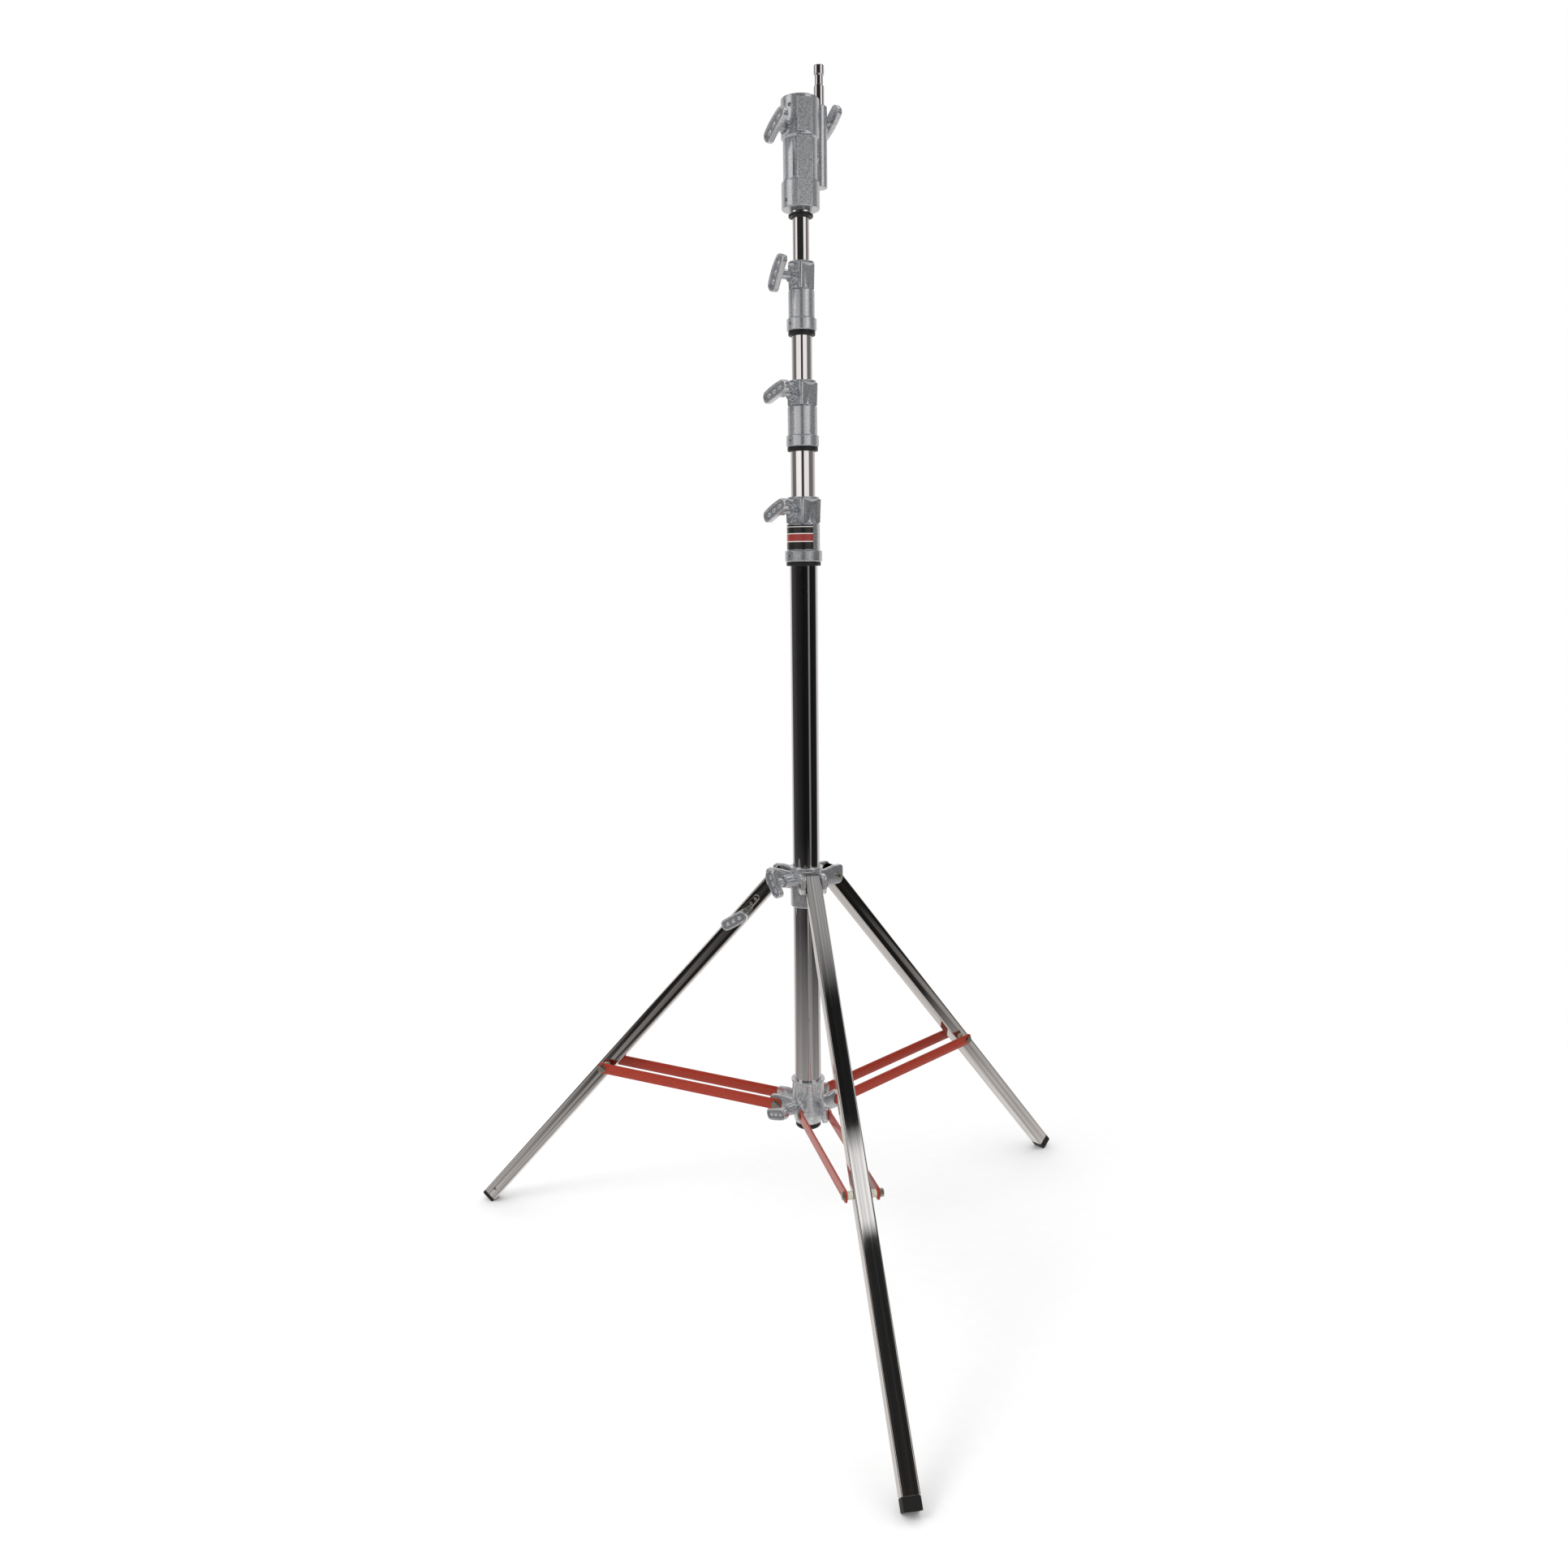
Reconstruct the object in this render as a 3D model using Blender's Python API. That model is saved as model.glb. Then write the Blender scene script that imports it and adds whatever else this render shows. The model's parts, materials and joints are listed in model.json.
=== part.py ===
"""A triple-riser steel combo stand with a folding three-leg base.

Metres, +Z up. The column stands at (COLUMN_X, COLUMN_Y); the origin is the middle of the footprint
on the ground. The front leg points along -Y.
"""
from math import atan2, cos, hypot, pi, radians, sin

import bmesh
import bpy
from mathutils import Matrix, Vector

MM = 0.001
GAP = 0.3 * MM                     # air between pieces that touch or slide

# Where the column stands, so that the footprint is centred on the origin.
COLUMN_X = 0.0
COLUMN_Y = 158.4 * MM

# Tubes: outer radius and wall.
BASE_R, RISER_1_R, RISER_2_R, RISER_3_R = 22.225 * MM, 19.05 * MM, 15.875 * MM, 12.7 * MM
TUBE_WALL = 1.6 * MM

# Heights above the ground as the stand stands, each riser a little way out.
COLUMN_FOOT = 249.0 * MM
RECEIVER_FOOT, RECEIVER_TOP = 1724.8 * MM, 1883.3 * MM
RISER_1_FOOT, RISER_2_FOOT, RISER_3_FOOT = 362.0 * MM, 453.0 * MM, 532.0 * MM

# Collars: a band and a sleeve grip the lower tube, the block above them guides the riser.
COLLAR_FEET = (1195.4 * MM, 1373.1 * MM, 1547.6 * MM)
COLLAR_STEPS = (                   # heights of band, sleeve and block
    (17.6 * MM, 42.7 * MM, 39.9 * MM),
    (17.7 * MM, 44.9 * MM, 37.4 * MM),
    (18.9 * MM, 42.3 * MM, 40.4 * MM),
)
COLLAR_RADII = (                   # band, sleeve, block, rim and the ring below
    (29.7 * MM, 26.2 * MM, 22.6 * MM, 25.7 * MM, 27.5 * MM),
    (25.6 * MM, 23.2 * MM, 19.6 * MM, 22.4 * MM, 24.1 * MM),
    (23.2 * MM, 20.3 * MM, 16.9 * MM, 20.6 * MM, 21.0 * MM),
)
KNOB_TILTS = (-64.0, -70.0, -28.0)
COLLAR_KNOB_REACH = (29.0 * MM, 29.0 * MM, 26.0 * MM)      # past the block's radius
RIM_H = 4.0 * MM
RING_H = 7.0 * MM
FLAT_RATIO = 0.93                  # block: distance of a flat over its radius
KNOB_SHARE = 0.46                  # how far up the block its clamp screw sits
BLOCK_DROP = 3.0 * MM              # solid shoulder that the lower tube ends against

# Tripod: the axis of each leg at rest, and the straps that hold it.
LEG_AZIMUTHS = {"front": -90.0, "right": 30.0, "left": 150.0}
LEG_SPREAD = radians(41.56)        # between a leg and the column
LEG_PIVOT_R, LEG_PIVOT_Z = 52.0 * MM, 675.4 * MM
LEG_SIZE, LEG_WALL, LEG_CORNER = 25.4 * MM, 1.5 * MM, 2.0 * MM
LEG_ABOVE_PIVOT = 11.0 * MM
LEG_TO_BOLT = 496.3 * MM
LEG_TO_TUBE_END = 876.1 * MM
LEVEL_LEG_EXTRA = 9.0 * MM         # the levelling leg's outer tube is this much longer
LEG_TO_TIP = 894.1 * MM
STRAP_PIVOT_R, STRAP_PIVOT_Z = 50.8 * MM, 280.2 * MM
STRAP_W, STRAP_T = 19.0 * MM, 3.2 * MM
STRAP_INNER = 22.2 * MM            # from the leg's middle plane to the strap's inner face
STRAP_END = 8.0 * MM               # past the bolt
SPACER_R, SPACER_BORE, BOLT_R = 6.0 * MM, 3.6 * MM, 3.1 * MM

# Hub that slides on the base tube, and the casting on the column's foot.
HUB_R, HUB_FOOT, HUB_RIM = 26.3 * MM, 630.0 * MM, 697.0 * MM
HUB_PLAY = 0.35 * MM
EAR_INNER, EAR_OUTER, EAR_REACH = 13.2 * MM, 21.0 * MM, 64.0 * MM
EAR_BELOW, EAR_ABOVE = 14.0 * MM, 18.0 * MM      # from the leg pivot
CASTING_R, CASTING_FOOT, CASTING_TOP = 27.0 * MM, 250.0 * MM, 326.0 * MM
FORK_INNER, FORK_OUTER, FORK_REACH = 13.6 * MM, 21.6 * MM, 62.0 * MM
FORK_BELOW, FORK_ABOVE = 15.0 * MM, 15.0 * MM    # from the strap pivot

# Receiver: a junior socket with a baby pin beside it.
RECEIVER_R, RECEIVER_BAND_R = 26.3 * MM, 29.2 * MM        # waist, and the bands above and below it
RECEIVER_LOW_TOP, RECEIVER_HIGH_FOOT = 1766.0 * MM, 1824.0 * MM
PANEL_W = 22.0 * MM
RECEIVER_BUSH_R, RECEIVER_BUSH_H = 17.0 * MM, 6.0 * MM    # below the foot
JUNIOR_BORE_R, JUNIOR_FLOOR, DRAIN_R = 14.3 * MM, 1779.0 * MM, 4.0 * MM
RISER_3_TOP = 1769.0 * MM
RECEIVER_RING_R, RECEIVER_RING_H = 19.0 * MM, 4.8 * MM
BABY_R, BABY_OFFSET, BABY_AZIMUTH = 7.94 * MM, 39.0 * MM, 30.0
BABY_BOSS_R, BABY_BOSS_FOOT, BABY_BOSS_TOP = 12.2 * MM, 1762.8 * MM, 1880.1 * MM
BABY_FOOT, BABY_TOP = 1780.0 * MM, 1939.2 * MM
WAIST_FOOT, WAIST_TOP, WAIST_DEPTH = 1910.6 * MM, 1924.3 * MM, 1.6 * MM

# T-knobs: all on the column face the gap between the front and left legs.
KNOB_AZIMUTH = 210.0
KNOB_LEN, SHORT_KNOB_LEN, KNOB_W, KNOB_T = 56.0 * MM, 49.0 * MM, 20.0 * MM, 9.0 * MM
KNOB_SHAFT_R, KNOB_NECK_R = 4.0 * MM, 6.5 * MM
BOSS_R = 11.0 * MM                 # round boss that a collar's clamp screw goes through
KNOB_PLAY = 0.6 * MM               # between a clamp screw and the tube it would press on
KNOB_REACH = 64.0 * MM             # hub and casting: from the column's axis to the bar
BASE_BOSS_R, BASE_BOSS_REACH = 10.0 * MM, 50.0 * MM
RECEIVER_KNOB_Z, RECEIVER_KNOB_REACH, RECEIVER_KNOB_TILT = 1837.0 * MM, 43.0 * MM, -50.0
BABY_KNOB_Z, BABY_KNOB_REACH, BABY_KNOB_TILT = 1861.0 * MM, 56.0 * MM, 48.0
HUB_KNOB_Z, HUB_KNOB_TILT = LEG_PIVOT_Z + 2.5 * MM, 32.0
CASTING_KNOB_TILT = 106.0

# The levelling leg's clamp: a plate on the outer tube, and a knob through it.
PLATE_FROM, PLATE_TO, PLATE_W, PLATE_T = -109.0 * MM, -43.0 * MM, 14.0 * MM, 5.0 * MM
LEG_KNOB_AT, LEG_KNOB_TILT = -98.0 * MM, -18.0
DRAIN_HOLE_R, DRAIN_HOLE_AT = 3.2 * MM, 20.0 * MM

ROUND, SMALL_ROUND = 24, 10        # sides of large and small round pieces
Z = Vector((0.0, 0.0, 1.0))

MATERIALS = {
    "chrome": ((0.62, 0.62, 0.64), 0.10, 1.0),
    "cast": ((0.50, 0.50, 0.52), 0.32, 1.0),
    "zinc": ((0.60, 0.58, 0.54), 0.35, 1.0),
    "red_paint": ((0.27, 0.035, 0.025), 0.38, 0.0),
    "black_rubber": ((0.02, 0.02, 0.02), 0.70, 0.0),
    "black_nylon": ((0.03, 0.03, 0.03), 0.50, 0.0),
    "white_nylon": ((0.75, 0.72, 0.64), 0.45, 0.0),
}


def clear_scene():
    for item in list(bpy.data.objects):
        bpy.data.objects.remove(item, do_unlink=True)


def material(name, node):
    """Each piece's own Principled material in one of the stand's finishes."""
    colour, roughness, metallic = MATERIALS[name]
    mat = bpy.data.materials.new(f"{node}_{name}")
    mat.use_nodes = True
    shader = mat.node_tree.nodes["Principled BSDF"]
    shader.inputs["Base Color"].default_value = (*colour, 1.0)
    shader.inputs["Roughness"].default_value = roughness
    shader.inputs["Metallic"].default_value = metallic
    return mat


def axis_empty(name, matrix, parent=None):
    """An empty whose matrix is given relative to its parent."""
    empty = bpy.data.objects.new(name, None)
    empty.empty_display_size = 0.03
    bpy.context.collection.objects.link(empty)
    empty.parent = parent
    empty.matrix_local = matrix
    return empty


def finish(name, bm, finish_name, parent):
    """Turn a bmesh into the named piece, hung on its joint's empty."""
    bmesh.ops.recalc_face_normals(bm, faces=bm.faces)
    mesh = bpy.data.meshes.new(name)
    bm.to_mesh(mesh)
    bm.free()
    mesh.shade_smooth()
    mesh.set_sharp_from_angle(angle=radians(35.0))
    mesh.materials.append(material(finish_name, name))
    piece = bpy.data.objects.new(name, mesh)
    bpy.context.collection.objects.link(piece)
    piece.parent = parent
    return piece


def turned(profile, sides=ROUND):
    """Spin an (r, z) outline about Z; r = 0 at its ends makes a solid, a loop makes a ring."""
    bm = bmesh.new()
    points = [bm.verts.new((r, 0.0, z)) for r, z in profile]
    edges = [bm.edges.new(pair) for pair in zip(points, points[1:])]
    if profile[0][0] > 0.0:
        edges.append(bm.edges.new((points[-1], points[0])))
    bmesh.ops.spin(bm, geom=points + edges, cent=(0, 0, 0), axis=Z, angle=2 * pi,
                   steps=sides, use_merge=True)
    bmesh.ops.remove_doubles(bm, verts=bm.verts, dist=1e-6)
    return bm


def ring(r_in, r_out, z0, z1, sides=ROUND):
    return turned([(r_in, z0), (r_out, z0), (r_out, z1), (r_in, z1)], sides)


def rod(r, z0, z1, sides=SMALL_ROUND):
    return turned([(0.0, z0), (r, z0), (r, z1), (0.0, z1)], sides)


def block(low, high, bevel=0.0, along=None):
    """A box between two corners, with the edges parallel to one axis rounded."""
    bm = bmesh.new()
    low, high = Vector(low), Vector(high)
    bmesh.ops.create_cube(bm, size=1.0)
    size = high - low
    bmesh.ops.scale(bm, vec=size, verts=bm.verts)
    bmesh.ops.translate(bm, vec=(low + high) / 2, verts=bm.verts)
    if bevel:
        edges = [e for e in bm.edges
                 if along is None or abs((e.verts[0].co - e.verts[1].co).normalized()[along]) > 0.9]
        bmesh.ops.bevel(bm, geom=edges, offset=bevel, offset_type="OFFSET", segments=2,
                        profile=0.5, affect="EDGES", material=-1, clamp_overlap=True)
    return bm


def moved(bm, matrix):
    bmesh.ops.transform(bm, matrix=matrix, verts=bm.verts)
    return bm


def along_x(bm):
    """Turn a piece made along Z so that it points along +X."""
    return moved(bm, Matrix.Rotation(pi / 2, 4, "Y"))


def along_y(bm):
    """Turn a piece made along Z so that it points along +Y."""
    return moved(bm, Matrix.Rotation(-pi / 2, 4, "X"))


def azimuth(degree):
    return Matrix.Rotation(radians(degree), 4, "Z")


def combined(base, joins=(), cuts=()):
    """Join and cut closed shapes with exact Booleans and hand back one bmesh."""
    stage = []
    for bm in (base, *joins, *cuts):
        bmesh.ops.recalc_face_normals(bm, faces=bm.faces)
        mesh = bpy.data.meshes.new("stage")
        bm.to_mesh(mesh)
        bm.free()
        item = bpy.data.objects.new("stage", mesh)
        bpy.context.collection.objects.link(item)
        stage.append(item)
    target = stage[0]
    operations = ["UNION"] * len(joins) + ["DIFFERENCE"] * len(cuts)
    for other, operation in zip(stage[1:], operations):
        boolean = target.modifiers.new(operation.lower(), "BOOLEAN")
        boolean.operation = operation
        boolean.solver = "EXACT"
        boolean.object = other
    view = bpy.context.evaluated_depsgraph_get()
    result = bmesh.new()
    result.from_mesh(target.evaluated_get(view).to_mesh())
    for item in stage:
        bpy.data.objects.remove(item, do_unlink=True)
    bmesh.ops.remove_doubles(result, verts=result.verts, dist=2e-6)
    bmesh.ops.dissolve_limit(result, angle_limit=radians(0.3), verts=result.verts,
                             edges=result.edges)
    return result


def t_knob(shaft_from, shaft_to, length=KNOB_LEN, neck_len=9.0 * MM, arch=2.0 * MM):
    """A T-knob along +X: a threaded shaft, a round neck and an arched bar with a recess."""
    neck = along_x(rod(KNOB_NECK_R, shaft_to - neck_len, shaft_to + 3.0 * MM))
    shaft = along_x(rod(KNOB_SHAFT_R, shaft_from, shaft_to))
    half = length / 2
    bar = block((shaft_to, -KNOB_W / 2, -half), (shaft_to + KNOB_T, KNOB_W / 2, half))
    ends = [e for e in bar.edges if abs(e.verts[0].co.x - e.verts[1].co.x) > KNOB_T / 2]
    bmesh.ops.bevel(bar, geom=ends, offset=KNOB_W * 0.34, offset_type="OFFSET", segments=2,
                    profile=0.5, affect="EDGES", material=-1, clamp_overlap=True)
    bmesh.ops.bisect_plane(bar, geom=bar.verts[:] + bar.edges[:] + bar.faces[:],
                           plane_co=(0, 0, 0), plane_no=(0, 0, 1))
    for v in bar.verts:
        v.co.x += arch * (1.0 - (v.co.z / half) ** 2)
    pocket = block((shaft_to + KNOB_T - 0.5 * MM, -KNOB_W / 2 + 3.2 * MM, -half + 4.5 * MM),
                   (shaft_to + KNOB_T + 6 * MM, KNOB_W / 2 - 3.2 * MM, half - 4.5 * MM), 4.0 * MM, 0)
    return combined(bar, joins=(neck, shaft), cuts=(pocket,))


def knob_frame(name, height, parent, tilt, at=KNOB_AZIMUTH):
    """The empty on a column knob's shaft: +X points outward, the bar leans by tilt degrees."""
    place = Matrix.Translation((0, 0, height)) @ azimuth(at) @ Matrix.Rotation(radians(tilt), 4, "X")
    return axis_empty(name + "_axis", place, parent)


def collar(foot, steps, radii, tube_r, riser_r):
    """A clamping collar: band, sleeve, faceted block with a flared rim, and the knob's boss."""
    band_h, sleeve_h, block_h = steps
    band_r, sleeve_r, block_r, rim_r = radii[:4]
    band = foot + band_h
    block_foot = band + sleeve_h
    top = block_foot + block_h
    body = turned([
        (0.0, foot), (band_r, foot), (band_r, band - 1.0 * MM), (sleeve_r, band),
        (sleeve_r, block_foot - 1.5 * MM), (block_r, block_foot), (block_r, top - RIM_H - 3.0 * MM),
        (rim_r, top - RIM_H), (rim_r, top), (0.0, top)])
    middle = block_foot + block_h * KNOB_SHARE
    knob_side = Matrix.Translation((0, 0, middle)) @ azimuth(KNOB_AZIMUTH)
    half = block_r * FLAT_RATIO
    square = block((-half, -half, block_foot + 0.5 * MM), (half, half, top - RIM_H - 1.5 * MM), 3.0 * MM, 2)
    moved(square, azimuth(KNOB_AZIMUTH))
    boss = moved(along_x(rod(BOSS_R, riser_r + 1.0 * MM, block_r + 7.0 * MM, 16)), knob_side)
    screw = moved(along_x(rod(3.0 * MM, tube_r + 2.0 * MM, band_r + 1.2 * MM)),
                  Matrix.Translation((0, 0, foot + band_h / 2)) @ azimuth(KNOB_AZIMUTH))
    tube_hole = rod(tube_r + GAP, foot - 1 * MM, block_foot - BLOCK_DROP, ROUND)
    riser_hole = rod(riser_r + GAP, foot - 1 * MM, top + 1 * MM, ROUND)
    thread = moved(along_x(rod(KNOB_SHAFT_R + GAP, riser_r - 2 * MM, block_r + 12 * MM)), knob_side)
    shape = combined(body, joins=(square, boss, screw), cuts=(tube_hole, riser_hole, thread))
    return shape, middle


def tube(r, z0, z1, wall=TUBE_WALL):
    return ring(r - wall, r, z0, z1)


def guide_bush(tube_r, outer_r, foot):
    """A nylon bush pushed into the riser's foot, with a flange that runs inside the outer tube."""
    inner = tube_r - TUBE_WALL - GAP
    return turned([(inner - 2.0 * MM, foot - 12.0 * MM), (outer_r - TUBE_WALL - GAP, foot - 12.0 * MM),
                   (outer_r - TUBE_WALL - GAP, foot - GAP), (inner, foot - GAP),
                   (inner, foot + 12.0 * MM), (inner - 2.0 * MM, foot + 12.0 * MM)])


def bumper(tube_r, out_r, top, height=RING_H):
    """The black ring under a collar."""
    return ring(tube_r + GAP, out_r, top - height, top - GAP)


def ears(inner, outer, reach, foot, top, rounding):
    """Three pairs of ears with rounded noses, one pair to each leg."""
    shapes = []
    for degree in LEG_AZIMUTHS.values():
        for side in (-1, 1):
            y0, y1 = sorted((side * inner, side * outer))
            ear = block((16 * MM, y0, foot), (reach, y1, top))
            nose = [e for e in ear.edges if min(v.co.x for v in e.verts) > reach - 1 * MM
                    and abs(e.verts[0].co.y - e.verts[1].co.y) > 1 * MM]
            bmesh.ops.bevel(ear, geom=nose, offset=rounding, offset_type="OFFSET", segments=2,
                            profile=0.5, affect="EDGES", material=-1, clamp_overlap=True)
            shapes.append(moved(ear, azimuth(degree)))
    return shapes


def cross_holes(radius, height):
    """Bolt holes square to each leg, at a distance from the column and a height."""
    return [moved(along_y(rod(BOLT_R + GAP, -40 * MM, 40 * MM)),
                  azimuth(degree) @ Matrix.Translation((radius, 0, height)))
            for degree in LEG_AZIMUTHS.values()]


def lower_casting():
    """The column's foot: a socket with three forks that carry the straps."""
    body = turned([(0.0, CASTING_FOOT), (22.9 * MM, CASTING_FOOT), (CASTING_R, CASTING_FOOT + 14 * MM),
                   (CASTING_R, CASTING_TOP - 5 * MM), (CASTING_R + 1.6 * MM, CASTING_TOP - 3 * MM),
                   (CASTING_R + 1.6 * MM, CASTING_TOP), (0.0, CASTING_TOP)])
    joins = ears(FORK_INNER, FORK_OUTER, FORK_REACH, STRAP_PIVOT_Z - FORK_BELOW,
                 STRAP_PIVOT_Z + FORK_ABOVE, 9 * MM)
    knob_side = Matrix.Translation((0, 0, STRAP_PIVOT_Z)) @ azimuth(KNOB_AZIMUTH)
    joins.append(moved(along_x(rod(BASE_BOSS_R, BASE_R + 1 * MM, BASE_BOSS_REACH, 16)), knob_side))
    cuts = cross_holes(STRAP_PIVOT_R, STRAP_PIVOT_Z)
    cuts.append(moved(along_x(rod(KNOB_SHAFT_R + GAP, BASE_R - 1 * MM, KNOB_REACH)), knob_side))
    cuts.append(rod(BASE_R + GAP, CASTING_FOOT - 1 * MM, CASTING_TOP + 1 * MM, ROUND))
    return combined(body, joins, cuts)


def leg_hub():
    """The sliding hub: a sleeve with three clevises, each two ears round a leg's top end."""
    body = turned([(0.0, HUB_FOOT), (HUB_R, HUB_FOOT), (HUB_R, HUB_RIM - 6 * MM),
                   (HUB_R + 1.5 * MM, HUB_RIM - 4 * MM), (HUB_R + 1.5 * MM, HUB_RIM), (0.0, HUB_RIM)])
    joins = ears(EAR_INNER, EAR_OUTER, EAR_REACH, LEG_PIVOT_Z - EAR_BELOW,
                 LEG_PIVOT_Z + EAR_ABOVE, 10 * MM)
    knob_side = Matrix.Translation((0, 0, HUB_KNOB_Z)) @ azimuth(KNOB_AZIMUTH)
    joins.append(moved(along_x(rod(BASE_BOSS_R, BASE_R + 1 * MM, BASE_BOSS_REACH, 16)), knob_side))
    cuts = cross_holes(LEG_PIVOT_R, LEG_PIVOT_Z)
    cuts.append(moved(along_x(rod(KNOB_SHAFT_R + GAP, BASE_R - 1 * MM, KNOB_REACH)), knob_side))
    cuts.append(rod(BASE_R + HUB_PLAY, HUB_FOOT - 1 * MM, HUB_RIM + 1 * MM, ROUND))
    return combined(body, joins, cuts)


def receiver():
    """The head casting: junior socket, riser socket below it, and the baby pin's boss."""
    bush_foot = RECEIVER_FOOT - RECEIVER_BUSH_H
    step = RECEIVER_BAND_R - RECEIVER_R
    body = turned([(0.0, bush_foot), (RECEIVER_BUSH_R, bush_foot), (RECEIVER_BUSH_R, RECEIVER_FOOT),
                   (RECEIVER_BAND_R - 1.5 * MM, RECEIVER_FOOT), (RECEIVER_BAND_R, RECEIVER_FOOT + 1.5 * MM),
                   (RECEIVER_BAND_R, RECEIVER_LOW_TOP - step), (RECEIVER_R, RECEIVER_LOW_TOP),
                   (RECEIVER_R, RECEIVER_HIGH_FOOT), (RECEIVER_BAND_R, RECEIVER_HIGH_FOOT + step),
                   (RECEIVER_BAND_R, RECEIVER_TOP - 2.5 * MM), (RECEIVER_BAND_R - 2.5 * MM, RECEIVER_TOP),
                   (0.0, RECEIVER_TOP)])
    knob_side = Matrix.Translation((0, 0, RECEIVER_KNOB_Z)) @ azimuth(KNOB_AZIMUTH)
    baby = azimuth(BABY_AZIMUTH)
    pin_axis = baby @ Matrix.Translation((BABY_OFFSET, 0, 0))
    baby_knob_side = Matrix.Translation((0, 0, BABY_KNOB_Z)) @ baby
    rivet_side = Matrix.Translation((0, 0, RECEIVER_FOOT + 10.5 * MM)) @ azimuth(KNOB_AZIMUTH)
    panel = block((18 * MM, -PANEL_W / 2, RECEIVER_LOW_TOP - 6 * MM),
                  (RECEIVER_BAND_R - 0.4 * MM, PANEL_W / 2, RECEIVER_HIGH_FOOT + 1 * MM), 1.5 * MM, 2)
    web = block((18 * MM, -9 * MM, BABY_BOSS_FOOT + 1 * MM), (BABY_OFFSET, 9 * MM, BABY_BOSS_TOP - 1 * MM))
    joins = (
        moved(panel, azimuth(273.0)),
        moved(rod(BABY_BOSS_R, BABY_BOSS_FOOT, BABY_BOSS_TOP, 16), pin_axis),
        moved(web, baby),
        moved(along_x(rod(10.0 * MM, 17 * MM, RECEIVER_BAND_R + 3.4 * MM, 16)), knob_side),
        moved(along_x(rod(7.5 * MM, BABY_OFFSET + 9.5 * MM, BABY_OFFSET + BABY_BOSS_R + 1 * MM)),
              baby_knob_side),
        moved(along_x(rod(3.0 * MM, 20 * MM, RECEIVER_BAND_R + 1.2 * MM)), rivet_side),
    )
    thread_r = KNOB_SHAFT_R + GAP
    cuts = (
        moved(along_x(rod(thread_r, 8 * MM, RECEIVER_BAND_R + 12 * MM)), knob_side),
        moved(along_x(rod(thread_r, BABY_OFFSET + 5 * MM, BABY_OFFSET + 22 * MM)), baby_knob_side),
        moved(rod(BABY_R + GAP, BABY_FOOT - 4 * MM, BABY_BOSS_TOP + 1 * MM, 16), pin_axis),
        rod(DRAIN_R, RISER_3_TOP - 6 * MM, JUNIOR_FLOOR + 5 * MM),
        rod(RISER_3_R + GAP, bush_foot - 1 * MM, RISER_3_TOP + GAP, ROUND),
        rod(JUNIOR_BORE_R, JUNIOR_FLOOR, RECEIVER_TOP + 1 * MM, ROUND),
    )
    return combined(body, joins, cuts)


def baby_pin():
    """A 5/8 inch pin with the usual waist under its head."""
    neck = BABY_R - WAIST_DEPTH
    return turned([(0.0, BABY_FOOT), (BABY_R, BABY_FOOT),
                   (BABY_R, WAIST_FOOT - WAIST_DEPTH), (neck, WAIST_FOOT),
                   (neck, WAIST_TOP), (BABY_R, WAIST_TOP + WAIST_DEPTH),
                   (BABY_R, BABY_TOP - 1.5 * MM), (BABY_R - 1.5 * MM, BABY_TOP), (0.0, BABY_TOP)], 16)


def square_tube(size, wall, corner, z0, z1):
    """A square tube along Z with rounded corners, open at both ends."""
    outer = block((-size / 2, -size / 2, z0), (size / 2, size / 2, z1), corner, 2)
    bore = size / 2 - wall
    inner = block((-bore, -bore, z0 - 1 * MM), (bore, bore, z1 + 1 * MM), max(corner - wall, 0.6 * MM), 2)
    return combined(outer, cuts=(inner,))


def leg_tube(end, joins=(), cuts=()):
    """A leg in its own frame: the pivot at the origin, the foot down -Z."""
    shape = square_tube(LEG_SIZE, LEG_WALL, LEG_CORNER, -end, LEG_ABOVE_PIVOT)
    pivot_hole = along_y(rod(BOLT_R + GAP, -20 * MM, 20 * MM))
    return combined(shape, joins, (pivot_hole, *cuts))


def foot_plug(start, inner_size, ground_matrix):
    """A rubber plug: a spigot in the tube, a rounded cap below it, cut level with the ground."""
    cap = block((-LEG_SIZE / 2, -LEG_SIZE / 2, -LEG_TO_TIP), (LEG_SIZE / 2, LEG_SIZE / 2, -start - GAP))
    rim = [e for e in cap.edges if min(e.verts[0].co.z, e.verts[1].co.z) < -LEG_TO_TIP + 1 * MM]
    bmesh.ops.bevel(cap, geom=rim, offset=2.0 * MM, offset_type="OFFSET", segments=2,
                    profile=0.5, affect="EDGES", material=-1, clamp_overlap=True)
    grip = inner_size / 2 - GAP
    spigot = block((-grip, -grip, -start - 2 * MM), (grip, grip, -start + 16 * MM), 1 * MM, 2)
    shape = combined(cap, joins=(spigot,))
    down = ground_matrix.inverted()
    floor_point = down @ Vector((0, 0, 0))
    floor_normal = (down.to_3x3() @ Vector((0, 0, -1))).normalized()
    cut = bmesh.ops.bisect_plane(shape, geom=shape.verts[:] + shape.edges[:] + shape.faces[:],
                                 plane_co=floor_point, plane_no=floor_normal, clear_outer=True)
    rim = [e for e in cut["geom_cut"] if isinstance(e, bmesh.types.BMEdge)]
    bmesh.ops.edgeloop_fill(shape, edges=rim)
    return shape


def strap(side, length):
    """A flat strap along +X from its inner bolt, on one side of the leg."""
    y0, y1 = sorted((side * STRAP_INNER, side * (STRAP_INNER + STRAP_T)))
    bar = block((-9.0 * MM, y0, -STRAP_W / 2), (length + STRAP_END, y1, STRAP_W / 2), 4.0 * MM, 1)
    holes = [moved(along_y(rod(BOLT_R + GAP, -30 * MM, 30 * MM)), Matrix.Translation((x, 0, 0)))
             for x in (0.0, length)]
    return combined(bar, cuts=holes)


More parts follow.
